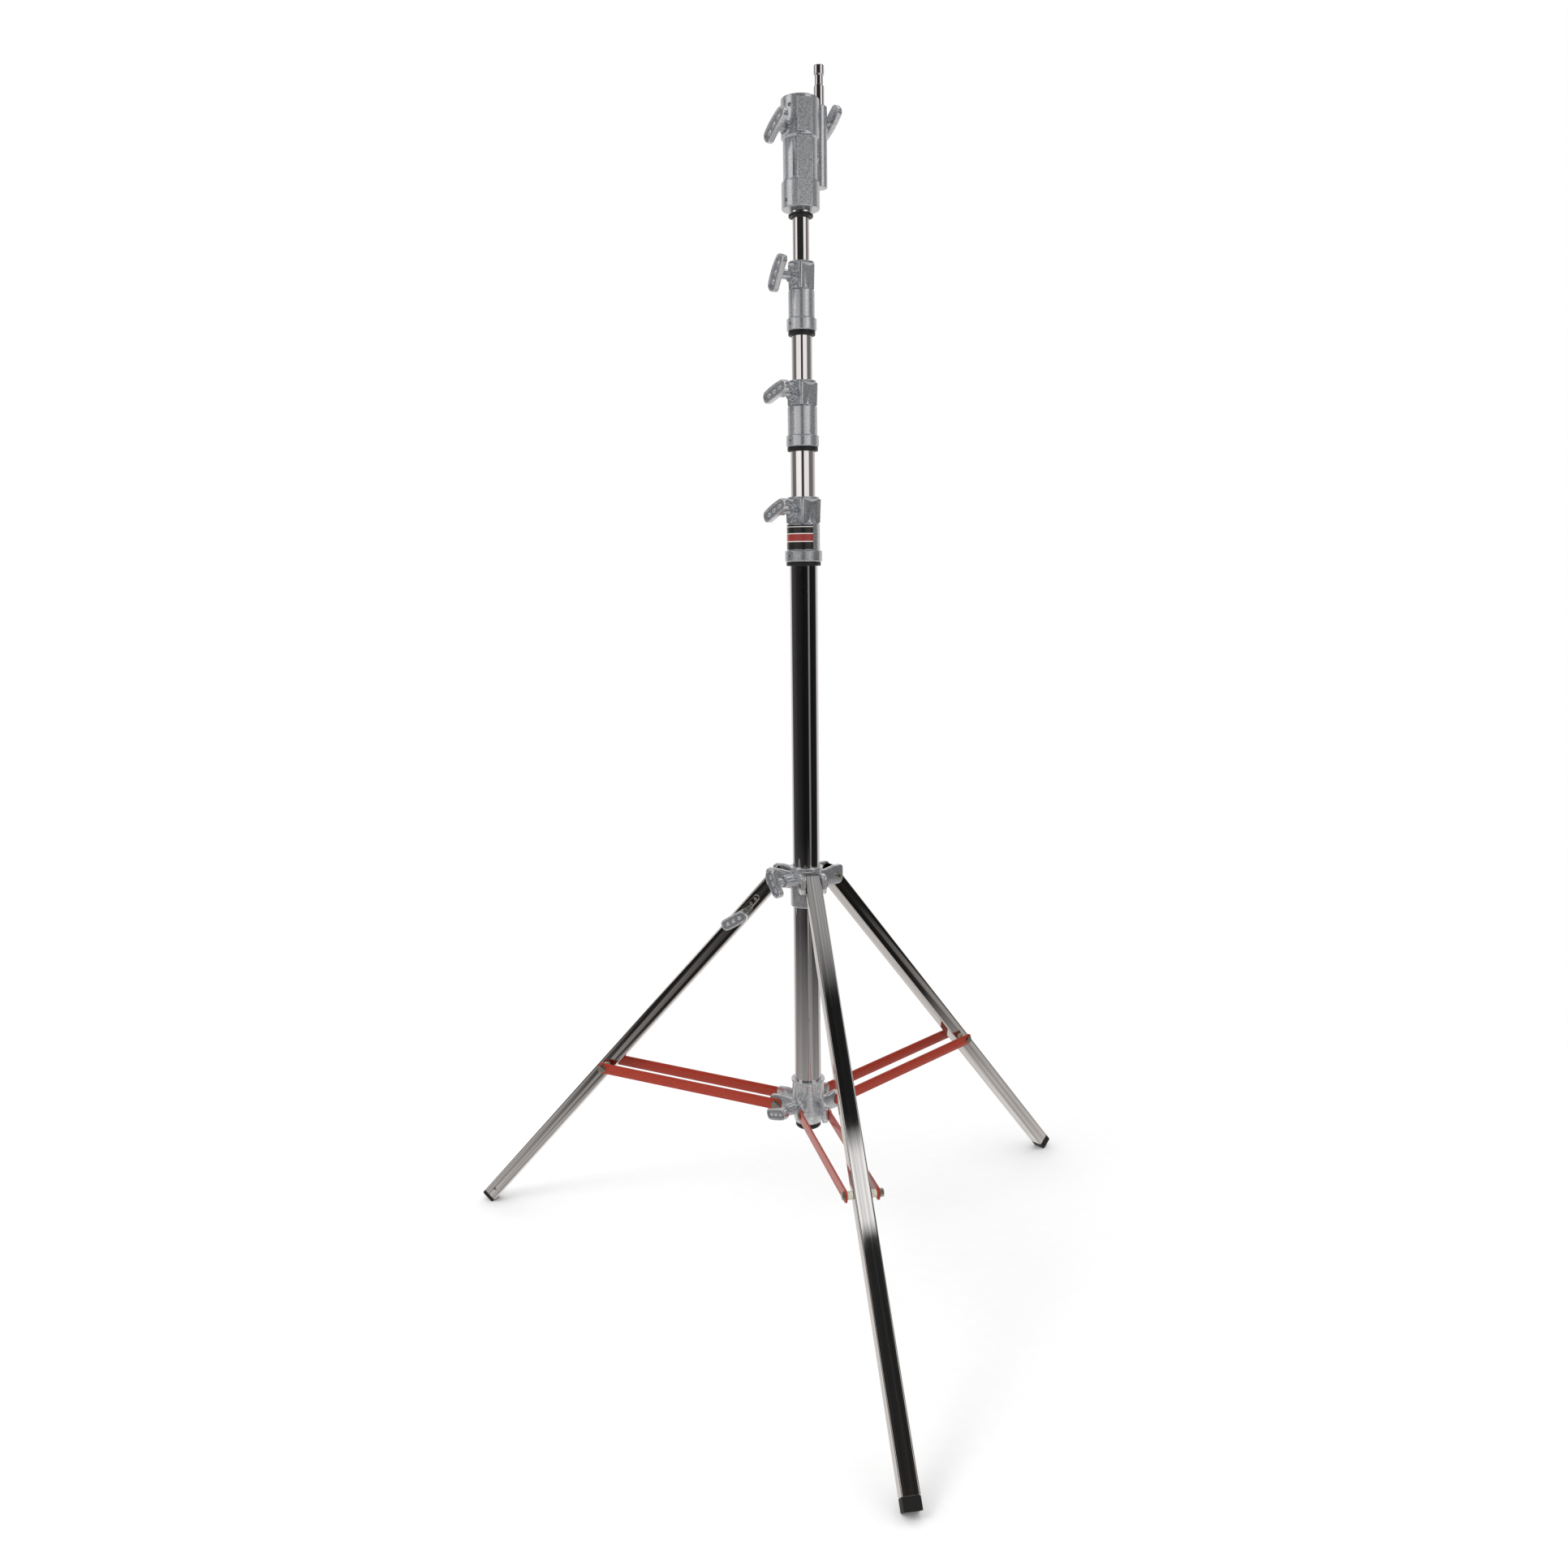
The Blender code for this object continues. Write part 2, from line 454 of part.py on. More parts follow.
def side_bolt(side, inner_end, head_r, head_h):
    """A bolt along +Y on one side: its shank starts at inner_end, its head sits outside the strap."""
    seat = STRAP_INNER + STRAP_T + GAP
    shape = along_y(turned([(0.0, inner_end), (BOLT_R, inner_end), (BOLT_R, seat), (head_r, seat),
                            (head_r, seat + head_h * 0.6), (head_r * 0.6, seat + head_h),
                            (0.0, seat + head_h)], SMALL_ROUND))
    return shape if side > 0 else moved(shape, Matrix.Rotation(pi, 4, "Z"))


def build_head(risers):
    """Collars, risers, receiver and pin, each riser sliding in the one below."""
    column, riser_1, riser_2, riser_3 = risers
    tubes = (BASE_R, RISER_1_R, RISER_2_R, RISER_3_R)
    tube_tops = []
    for number, foot in enumerate(COLLAR_FEET, start=1):
        steps, radii = COLLAR_STEPS[number - 1], COLLAR_RADII[number - 1]
        tube_r, riser_r = tubes[number - 1], tubes[number]
        parent = risers[number - 1]
        shape, knob_z = collar(foot, steps, radii, tube_r, riser_r)
        finish(f"collar_{number}", shape, "cast", parent)
        finish(f"collar_ring_{number}", bumper(tube_r, radii[4], foot), "black_nylon", parent)
        name = f"knob_collar_{number}"
        axis = knob_frame(name, knob_z, parent, KNOB_TILTS[number - 1])
        reach = radii[2] + COLLAR_KNOB_REACH[number - 1]
        finish(name, t_knob(riser_r + KNOB_PLAY, reach), "cast", axis)
        tube_tops.append(foot + steps[0] + steps[1] - BLOCK_DROP - GAP)

    finish("base_tube", tube(BASE_R, COLUMN_FOOT, tube_tops[0]), "chrome", column)
    finish("riser_1_tube", tube(RISER_1_R, RISER_1_FOOT, tube_tops[1]), "chrome", riser_1)
    finish("riser_2_tube", tube(RISER_2_R, RISER_2_FOOT, tube_tops[2]), "chrome", riser_2)
    swaged = RISER_2_R - TUBE_WALL - GAP
    bore = RISER_3_R - TUBE_WALL
    finish("riser_3_tube", turned([
        (bore, RISER_3_FOOT), (swaged, RISER_3_FOOT), (swaged, RISER_3_FOOT + 14 * MM),
        (RISER_3_R, RISER_3_FOOT + 16 * MM), (RISER_3_R, RISER_3_TOP), (bore, RISER_3_TOP)]),
        "chrome", riser_3)
    finish("guide_bush_1", guide_bush(RISER_1_R, BASE_R, RISER_1_FOOT), "white_nylon", riser_1)
    finish("guide_bush_2", guide_bush(RISER_2_R, RISER_1_R, RISER_2_FOOT), "white_nylon", riser_2)

    finish("receiver", receiver(), "cast", riser_3)
    finish("receiver_ring", bumper(RISER_3_R, RECEIVER_RING_R, RECEIVER_FOOT - RECEIVER_BUSH_H,
                                   RECEIVER_RING_H), "black_nylon", riser_3)
    axis = knob_frame("knob_receiver", RECEIVER_KNOB_Z, riser_3, RECEIVER_KNOB_TILT)
    finish("knob_receiver", t_knob(JUNIOR_BORE_R + 2 * MM, RECEIVER_KNOB_REACH), "cast", axis)
    axis = knob_frame("knob_baby_pin", BABY_KNOB_Z, riser_3, BABY_KNOB_TILT, BABY_AZIMUTH)
    knob = t_knob(BABY_OFFSET + BABY_R + 1.2 * MM, BABY_KNOB_REACH, KNOB_LEN, 3.0 * MM)
    finish("knob_baby_pin", knob, "cast", axis)
    pin_axis = axis_empty("baby_pin_axis", azimuth(BABY_AZIMUTH) @ Matrix.Translation((BABY_OFFSET, 0, 0)),
                          riser_3)
    finish("baby_pin", baby_pin(), "chrome", pin_axis)


def build_base(column, hub):
    """Lower casting, sliding hub, three legs with feet, and three pairs of straps."""
    finish("lower_casting", lower_casting(), "cast", column)
    bore = BASE_R - TUBE_WALL - GAP
    finish("end_plug", turned([(0.0, COLUMN_FOOT - 10 * MM), (18.5 * MM, COLUMN_FOOT - 10 * MM),
                               (21.5 * MM, COLUMN_FOOT - 7 * MM), (21.5 * MM, COLUMN_FOOT - GAP),
                               (bore, COLUMN_FOOT - GAP), (bore, COLUMN_FOOT + 14 * MM),
                               (0.0, COLUMN_FOOT + 14 * MM)]), "black_nylon", column)
    axis = knob_frame("knob_casting", STRAP_PIVOT_Z, column, CASTING_KNOB_TILT)
    finish("knob_casting", t_knob(BASE_R + KNOB_PLAY, KNOB_REACH, SHORT_KNOB_LEN), "cast", axis)
    finish("leg_hub", leg_hub(), "cast", hub)
    axis = knob_frame("knob_hub", HUB_KNOB_Z, hub, HUB_KNOB_TILT)
    finish("knob_hub", t_knob(BASE_R + KNOB_PLAY, KNOB_REACH, SHORT_KNOB_LEN), "cast", axis)

    bolt_r = LEG_PIVOT_R + LEG_TO_BOLT * sin(LEG_SPREAD)
    bolt_z = LEG_PIVOT_Z - LEG_TO_BOLT * cos(LEG_SPREAD)
    strap_length = hypot(bolt_r - STRAP_PIVOT_R, bolt_z - STRAP_PIVOT_Z)
    strap_rise = atan2(bolt_z - STRAP_PIVOT_Z, bolt_r - STRAP_PIVOT_R)
    for name, degree in LEG_AZIMUTHS.items():
        build_leg(name, degree, hub)
        build_straps(name, degree, column, strap_length, strap_rise)


def build_leg(name, degree, hub):
    place = (azimuth(degree) @ Matrix.Translation((LEG_PIVOT_R, 0, LEG_PIVOT_Z))
             @ Matrix.Rotation(-LEG_SPREAD, 4, "Y"))
    axis = axis_empty(f"leg_{name}_axis", place, hub)
    pin_place = azimuth(degree) @ Matrix.Translation((LEG_PIVOT_R, 0, LEG_PIVOT_Z))
    pin = turned([(0.0, -24.5 * MM), (5.2 * MM, -24.5 * MM), (5.2 * MM, -EAR_OUTER - GAP),
                  (BOLT_R, -EAR_OUTER - GAP), (BOLT_R, EAR_OUTER + GAP), (5.2 * MM, EAR_OUTER + GAP),
                  (5.2 * MM, 24.5 * MM), (0.0, 24.5 * MM)], SMALL_ROUND)
    finish(f"leg_pin_{name}", moved(along_y(pin), pin_place), "zinc", hub)
    inner = LEG_SIZE - 2 * LEG_WALL
    if name != "left":
        finish(f"leg_{name}", leg_tube(LEG_TO_TUBE_END), "chrome", axis)
        finish(f"foot_{name}", foot_plug(LEG_TO_TUBE_END, inner, place), "black_rubber", axis)
        return
    # The levelling leg: the outer tube carries a clamp plate and knob, the inner leg slides out.
    end = LEG_TO_TUBE_END + LEVEL_LEG_EXTRA
    half = LEG_SIZE / 2
    hole = moved(along_y(rod(DRAIN_HOLE_R, 0, 20 * MM)), Matrix.Translation((0, 0, -end + DRAIN_HOLE_AT)))
    thread = moved(along_y(rod(KNOB_SHAFT_R + GAP, 8 * MM, 30 * MM)), Matrix.Translation((0, 0, LEG_KNOB_AT)))
    plate = block((-PLATE_W / 2, half - 0.5 * MM, PLATE_FROM), (PLATE_W / 2, half + PLATE_T, PLATE_TO),
                  3 * MM, 1)
    finish("leg_left", leg_tube(end, (plate,), (hole, thread)), "chrome", axis)
    slide = axis_empty("levelling_leg_axis", Matrix.Identity(4), axis)
    core = square_tube(inner - 2 * GAP, LEG_WALL, 1.2 * MM, -end, -125.0 * MM)
    finish("levelling_leg", core, "chrome", slide)
    foot = foot_plug(end, inner - 2 * GAP - 2 * LEG_WALL, place)
    finish("foot_left", foot, "black_rubber", slide)
    turn = Matrix.Rotation(pi / 2, 4, "Z") @ Matrix.Rotation(radians(LEG_KNOB_TILT), 4, "X")
    knob_axis = axis_empty("knob_leg_axis", Matrix.Translation((0, 0, LEG_KNOB_AT)) @ turn, axis)
    knob = t_knob(half - LEG_WALL + 0.3 * MM, half + 16 * MM, SHORT_KNOB_LEN)
    finish("knob_leg", knob, "cast", knob_axis)


def build_straps(name, degree, column, length, rise):
    place = (azimuth(degree) @ Matrix.Translation((STRAP_PIVOT_R, 0, STRAP_PIVOT_Z))
             @ Matrix.Rotation(-rise, 4, "Y"))
    axis = axis_empty(f"brace_{name}_axis", place, column)
    leg_face = LEG_SIZE / 2 + GAP
    for side, letter in ((-1, "a"), (1, "b")):
        finish(f"strap_{name}_{letter}", strap(side, length), "red_paint", axis)
        spacer = along_y(ring(SPACER_BORE, SPACER_R, leg_face, STRAP_INNER - GAP, 16))
        if side < 0:
            moved(spacer, Matrix.Rotation(pi, 4, "Z"))
        at_leg = Matrix.Translation((length, 0, 0))
        finish(f"spacer_{name}_{letter}", moved(spacer, at_leg), "white_nylon", axis)
        head_r, head_h = (5.2 * MM, 3.4 * MM) if side < 0 else (5.6 * MM, 6.4 * MM)
        bolt = side_bolt(side, leg_face, head_r, head_h)
        finish(f"leg_bolt_{name}_{letter}", moved(bolt, at_leg), "zinc", axis)
        finish(f"fork_bolt_{name}_{letter}", side_bolt(side, FORK_INNER, 5.6 * MM, 3.6 * MM), "zinc", axis)


def main():
    clear_scene()
    column = axis_empty("column_axis", Matrix.Translation((COLUMN_X, COLUMN_Y, 0.0)))
    hub = axis_empty("hub_slide_axis", Matrix.Identity(4), column)
    riser_1 = axis_empty("riser_1_axis", Matrix.Identity(4), column)
    riser_2 = axis_empty("riser_2_axis", Matrix.Identity(4), riser_1)
    riser_3 = axis_empty("riser_3_axis", Matrix.Identity(4), riser_2)
    build_head((column, riser_1, riser_2, riser_3))
    build_base(column, hub)
    bpy.context.view_layer.update()


main()
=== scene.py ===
"""Looks of a steel combo stand: fine pieces and finishes around the fixed frame, a studio and a camera.

Metres, +Z up. Pieces of the column are drawn in the column's own frame, whose Z axis is the column.
"""
import json
from math import acos, atan2, cos, pi, radians, sin, tan

import bmesh
import bpy
from mathutils import Matrix, Vector


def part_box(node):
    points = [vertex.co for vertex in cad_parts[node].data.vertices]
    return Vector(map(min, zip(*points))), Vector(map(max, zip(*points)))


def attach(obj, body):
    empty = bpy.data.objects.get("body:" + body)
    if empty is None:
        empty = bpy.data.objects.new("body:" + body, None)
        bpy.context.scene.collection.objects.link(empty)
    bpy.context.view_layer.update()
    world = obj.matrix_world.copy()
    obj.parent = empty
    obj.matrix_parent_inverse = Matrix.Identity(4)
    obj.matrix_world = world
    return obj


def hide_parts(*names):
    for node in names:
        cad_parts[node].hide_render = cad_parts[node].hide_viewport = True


MM = 0.001
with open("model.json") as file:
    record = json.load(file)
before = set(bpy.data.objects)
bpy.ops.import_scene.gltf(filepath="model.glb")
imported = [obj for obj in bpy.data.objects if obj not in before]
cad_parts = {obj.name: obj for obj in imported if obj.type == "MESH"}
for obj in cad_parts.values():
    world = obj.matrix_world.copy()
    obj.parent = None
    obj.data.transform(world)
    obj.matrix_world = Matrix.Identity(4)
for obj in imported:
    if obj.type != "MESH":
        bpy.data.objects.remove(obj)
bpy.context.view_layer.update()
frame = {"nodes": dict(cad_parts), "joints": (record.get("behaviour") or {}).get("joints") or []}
JOINTS = {joint["name"]: joint for joint in frame["joints"]}

ROUND = 96                         # sides of a large round piece
GAP = 0.3 * MM
LEG_AZIMUTHS = {"front": -90.0, "right": 30.0, "left": 150.0}
KNOB_AZIMUTH = 210.0
BABY_AZIMUTH = 30.0


# ------------ places taken from the frame

def foot_of(node):
    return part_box(node)[0].z


def top_of(node):
    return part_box(node)[1].z


def radius_of(node):
    low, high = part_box(node)
    return (high.x - low.x) / 2


def azimuth(degree):
    return Matrix.Rotation(radians(degree), 4, "Z")


low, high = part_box("base_tube")
COLUMN = Matrix.Translation(((low.x + high.x) / 2, (low.y + high.y) / 2, 0.0))
LEG_AXIS = Vector(JOINTS["levelling_leg_slide"]["axis"])
LEG_SPREAD = acos(-LEG_AXIS.z)
PIVOT = Vector(JOINTS["leg_front_fold"]["pos_m"])
PIVOT_R, PIVOT_Z = (COLUMN.translation - PIVOT).xy.length, PIVOT.z
FORK = Vector(JOINTS["brace_front_fold"]["pos_m"])
FORK_R, FORK_Z = (COLUMN.translation - FORK).xy.length, FORK.z
COLLAR_KNOB_Z = [JOINTS[f"knob_collar_{n}_turn"]["pos_m"][2] for n in (1, 2, 3)]
HEAD_KNOB_Z = JOINTS["knob_receiver_turn"]["pos_m"][2]
PIN_KNOB_Z = JOINTS["knob_baby_pin_turn"]["pos_m"][2]
HUB_KNOB_Z = JOINTS["knob_hub_turn"]["pos_m"][2]


# ------------ drawing with bmesh

def outline(*corners, steps=5):
    """A flat outline from (x, y) corners; (x, y, radius) rounds the corner and adds a holding point
    on either side of the arc, so that the long faces beside it stay straight in the light."""
    points = []
    for number, corner in enumerate(corners):
        here = Vector(corner[:2])
        if len(corner) == 2:
            points.append(here)
            continue
        back = Vector(corners[number - 1][:2]) - here
        onward = Vector(corners[(number + 1) % len(corners)][:2]) - here
        half = back.angle(onward) / 2
        cut = min(corner[2] / tan(half), 0.44 * back.length, 0.44 * onward.length)
        radius = cut * tan(half)
        middle = here + (back.normalized() + onward.normalized()).normalized() * radius / sin(half)
        start = here + back.normalized() * cut
        end = here + onward.normalized() * cut
        hold = min(0.25 * MM, 0.04 * back.length, 0.04 * onward.length)
        points.append(start + back.normalized() * hold)
        for step in range(steps + 1):
            spoke = (start - middle).normalized().slerp((end - middle).normalized(), step / steps)
            points.append(middle + spoke * radius)
        points.append(end + onward.normalized() * hold)
    return points


def rectangle(x0, y0, x1, y1, corner, steps):
    return outline((x0, y0, corner), (x1, y0, corner), (x1, y1, corner), (x0, y1, corner), steps=steps)


def turned(points, sides=ROUND):
    """Spin an (r, z) outline about Z; r = 0 at its ends makes a solid, otherwise it makes a ring."""
    bm = bmesh.new()
    verts = [bm.verts.new((r, 0.0, z)) for r, z in points]
    edges = [bm.edges.new(pair) for pair in zip(verts, verts[1:])]
    if points[0][0] > 0.0:
        edges.append(bm.edges.new((verts[-1], verts[0])))
    bmesh.ops.spin(bm, geom=verts + edges, cent=(0, 0, 0), axis=(0, 0, 1), angle=2 * pi,
                   steps=sides, use_merge=True)
    bmesh.ops.remove_doubles(bm, verts=bm.verts, dist=1e-6)
    return bm


def rod(r, z0, z1, rounding=0.0, sides=40):
    corner = (rounding,) if rounding else ()
    return turned(outline((0.0, z0), (r, z0, *corner), (r, z1, *corner), (0.0, z1)), sides)


def ring(r_in, r_out, z0, z1, rounding, sides=ROUND):
    return turned(outline((r_in, z0, rounding), (r_out, z0, rounding), (r_out, z1, rounding),
                          (r_in, z1, rounding), steps=3), sides)


def threaded(r, z0, z1, pitch=1.5 * MM, sides=32):
    """A screw's shank: a solid rod with a groove every pitch."""
    points = [(0.0, z0)]
    for turn in range(int((z1 - z0) / pitch)):
        z = z0 + turn * pitch
        points += [(r - 0.5 * MM, z), (r, z + 0.35 * pitch), (r, z + 0.55 * pitch)]
    points += [(r - 0.5 * MM, z1), (0.0, z1)]
    return turned(points, sides)


def rounded(bm, edges, radius, segments):
    """Round the given edges."""
    bmesh.ops.bevel(bm, geom=edges, offset=radius, offset_type="OFFSET", segments=segments,
                    profile=0.5, affect="EDGES", material=-1, clamp_overlap=True)
    return bm


def round_rims(bm, radius, segments=3, least=0.6):
    """Round every edge where two faces meet at more than an angle of least radians."""
    rims = [e for e in bm.edges if len(e.link_faces) == 2 and e.calc_face_angle() > least]
    return rounded(bm, rims, radius, segments)


def verts_of(geometry):
    return [part for part in geometry if isinstance(part, bmesh.types.BMVert)]


def slab(points, z0, z1, rounding=0.0, segments=3):
    """A closed outline in the XY plane with a thickness along Z and rounded rims."""
    bm = bmesh.new()
    face = bm.faces.new([bm.verts.new((x, y, z0)) for x, y in points])
    raised = bmesh.ops.extrude_face_region(bm, geom=[face])["geom"]
    bmesh.ops.translate(bm, vec=(0, 0, z1 - z0), verts=verts_of(raised))
    bmesh.ops.recalc_face_normals(bm, faces=bm.faces)
    if rounding:
        rims = [e for e in bm.edges if abs(e.verts[0].co.z - e.verts[1].co.z) < 1e-7]
        rounded(bm, rims, rounding, segments)
    return bm


def bar(low_corner, high_corner, rounding, segments=3):
    """A box between two corners with all its edges rounded."""
    bm = bmesh.new()
    near, far = Vector(low_corner), Vector(high_corner)
    bmesh.ops.create_cube(bm, size=1.0)
    bmesh.ops.scale(bm, vec=far - near, verts=bm.verts)
    bmesh.ops.translate(bm, vec=(near + far) / 2, verts=bm.verts)
    return round_rims(bm, rounding, segments)


def moved(bm, *matrices):
    """Move a piece by one matrix after another, the last one applied first."""
    total = Matrix.Identity(4)
    for matrix in matrices:
        total = total @ matrix
    bmesh.ops.transform(bm, matrix=total, verts=bm.verts)
    return bm


ALONG_X = Matrix.Rotation(pi / 2, 4, "Y")       # drawn along Z, turned to point along +X
ALONG_Y = Matrix.Rotation(-pi / 2, 4, "X")      # drawn along Z, turned to point along +Y
UPRIGHT = Matrix.Rotation(pi / 2, 4, "X")       # drawn in XY, stood up in XZ
FACING_X = Matrix(((0, 0, 1, 0), (1, 0, 0, 0), (0, 1, 0, 0), (0, 0, 0, 1)))     # drawn in XY, faces +X
FACING_Y = Matrix(((1, 0, 0, 0), (0, 0, 1, 0), (0, 1, 0, 0), (0, 0, 0, 1)))     # drawn in XY, faces +Y


def at(height):
    return Matrix.Translation((0.0, 0.0, height))


def staged(bm):
    """Put a closed shape in the scene for a Boolean."""
    mesh = bpy.data.meshes.new("stage")
    bm.to_mesh(mesh)
    bm.free()
    item = bpy.data.objects.new("stage", mesh)
    bpy.context.collection.objects.link(item)
    return item


def combined(items, operations):
    """Apply exact Booleans to the first staged shape, clear the stage and hand back a bmesh."""
    for other, operation in zip(items[1:], operations):
        boolean = items[0].modifiers.new("boolean", "BOOLEAN")
        boolean.operation = operation
        boolean.solver = "EXACT"
        boolean.object = other
    result = bmesh.new()
    result.from_mesh(items[0].evaluated_get(bpy.context.evaluated_depsgraph_get()).to_mesh())
    for item in items:
        bpy.data.objects.remove(item, do_unlink=True)
    return result


def united(base, joins=(), cuts=()):
    """Join and cut closed shapes and hand back one bmesh."""
    shapes = (base, *joins, *cuts)
    for bm in shapes:
        bmesh.ops.recalc_face_normals(bm, faces=bm.faces)
    operations = ["UNION"] * len(joins) + ["DIFFERENCE"] * len(cuts)
    result = combined([staged(bm) for bm in shapes], operations)
    bmesh.ops.remove_doubles(result, verts=result.verts, dist=1e-6)
    return result


def piece(name, bm, finish, body, nodes=(), place=COLUMN, sharp=24.0):
    """Make a piece from a bmesh drawn in its own frame, keep those coordinates in an attribute for
    its finish, put it in place, and let it ride on a body and stand for CAD nodes."""
    bmesh.ops.recalc_face_normals(bm, faces=bm.faces)
    mesh = bpy.data.meshes.new(name)
    bm.to_mesh(mesh)
    bm.free()
    own = mesh.attributes.new("local", "FLOAT_VECTOR", "POINT")
    coordinates = [0.0] * (3 * len(mesh.vertices))
    mesh.vertices.foreach_get("co", coordinates)
    own.data.foreach_set("vector", coordinates)
    mesh.transform(place)
    mesh.shade_smooth()
    mesh.set_sharp_from_angle(angle=radians(sharp))
    mesh.materials.append(finish)
    item = bpy.data.objects.new(name, mesh)
    bpy.context.scene.collection.objects.link(item)
    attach(item, body)
    if nodes:
        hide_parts(*nodes)
    return item


# ------------ finishes

def linear(hex_colour):
    """An sRGB hex colour as linear RGBA."""
    parts = [int(hex_colour[n:n + 2], 16) / 255 for n in (0, 2, 4)]
    return (*[p / 12.92 if p <= 0.04045 else ((p + 0.055) / 1.055) ** 2.4 for p in parts], 1.0)


def add(tree, kind, settings=None, links=None):
    """Add a node, set its properties and sockets, and link its sockets from nodes or sockets."""
    node = tree.nodes.new("ShaderNode" + kind)
    for key, value in (settings or {}).items():
        if key == "stops":
            ramp = node.color_ramp
            while len(ramp.elements) < len(value):
                ramp.elements.new(1.0)
            for element, (position, colour) in zip(ramp.elements, value):
                element.position = position
                element.color = colour
        elif isinstance(key, int) or key in node.inputs:
            node.inputs[key].default_value = value
        else:
            setattr(node, key, value)
    for key, source in (links or {}).items():
        output = source.outputs[0] if isinstance(source, bpy.types.Node) else source
        tree.links.new(output, node.inputs[key])
    return node


def grey(value):
    return (value, value, value, 1.0)


def surface(name, settings):
    """A new material with one Principled shader; returns the material, its tree and the shader."""
    material = bpy.data.materials.new(name)
    material.use_nodes = True
    tree = material.node_tree
    tree.nodes.clear()
    shader = add(tree, "BsdfPrincipled", settings)
    add(tree, "OutputMaterial", None, {"Surface": shader})
    return material, tree, shader


def dress(tree, shader, tint, gloss, relief):
    """Give the shader its colour, roughness and relief."""
    for source, socket in ((tint, "Base Color"), (gloss, "Roughness"), (relief, "Normal")):
        tree.links.new(source.outputs[0], shader.inputs[socket])


def mottled(tree, shader, place, scale, colours, roughness, bump, detail=4.0):
    """Colour, roughness and relief of a surface from one noise at a real scale; returns its colour."""
    noise = add(tree, "TexNoise", {"Scale": scale, "Detail": detail, "Roughness": 0.6}, {"Vector": place})
    tint = add(tree, "ValToRGB", {"stops": [(0.32, linear(colours[0])), (0.68, linear(colours[1]))]},
               {"Fac": noise})
    gloss = add(tree, "MapRange", {"From Min": 0.3, "From Max": 0.7, "To Min": roughness[0],
                                   "To Max": roughness[1]}, {"Value": noise})
    relief = add(tree, "Bump", {"Strength": 1.0, "Distance": bump}, {"Height": noise})
    dress(tree, shader, tint, gloss, relief)
    return tint


def chrome_plate(name, line_mm, roughness, colours):
    """Bright chrome plate on drawn steel tube: a mirror with faint lines along the tube's length,
    spaced line_mm apart, and a light cloudy haze."""
    material, tree, shader = surface(name, {"Metallic": 1.0})
    place = add(tree, "Attribute", {"attribute_name": "local"}).outputs["Vector"]
    across = 1.0 / (line_mm * MM)
    stretched = add(tree, "Mapping", {"Scale": (across, across, across / 160)}, {"Vector": place})
    lines = add(tree, "TexNoise", {"Scale": 1.0, "Detail": 2.0}, {"Vector": stretched})
    drawn = add(tree, "Mapping", {"Scale": (across / 5, across / 5, across / 900)}, {"Vector": place})
    streaks = add(tree, "TexNoise", {"Scale": 1.0, "Detail": 3.0, "Roughness": 0.6}, {"Vector": drawn})
    haze = add(tree, "TexNoise", {"Scale": 28.0, "Detail": 5.0, "Roughness": 0.65}, {"Vector": place})
    tint = add(tree, "ValToRGB", {"stops": [(0.35, linear(colours[0])), (0.65, linear(colours[1]))]},
               {"Fac": streaks})
    both = add(tree, "Math", {"operation": "MULTIPLY"}, {0: lines, 1: haze})
    gloss = add(tree, "MapRange", {"From Min": 0.12, "From Max": 0.42, "To Min": roughness[0],
                                   "To Max": roughness[1]}, {"Value": both})
    relief = add(tree, "Bump", {"Strength": 1.0, "Distance": 0.0004 * MM}, {"Height": lines})
    dress(tree, shader, tint, gloss, relief)
    return material


def plain_finish(name, settings, grain_mm, colours, roughness, bump_mm, detail=4.0):
    """A finish whose colour, gloss and relief vary with a grain of grain_mm."""
    material, tree, shader = surface(name, settings)
    place = add(tree, "TexCoord").outputs["Object"]
    mottled(tree, shader, place, 1.0 / (grain_mm * MM), colours, roughness, bump_mm * MM, detail)
    return material


def red_enamel():
    """Sprayed maroon enamel on flat steel bar: semi-gloss with orange peel about 2 mm across, and
    small chips where the zinc primer shows."""
    material, tree, shader = surface("red_enamel", {"Coat Weight": 0.25, "Coat Roughness": 0.2})
    place = add(tree, "Attribute", {"attribute_name": "local"}).outputs["Vector"]
    tint = mottled(tree, shader, place, 1 / (2 * MM), ("93250f", "a53116"), (0.30, 0.42), 0.02 * MM, 2.0)
    chips = add(tree, "TexNoise", {"Scale": 1 / (7 * MM), "Detail": 6.0, "Roughness": 0.7}, {"Vector": place})
    worn = add(tree, "ValToRGB", {"stops": [(0.73, grey(0.0)), (0.745, grey(1.0))]}, {"Fac": chips})
    mixed = add(tree, "Mix", {"data_type": "RGBA", 7: linear("8d8782")}, {0: worn, 6: tint})
    tree.links.new(mixed.outputs[2], shader.inputs["Base Color"])
    return material


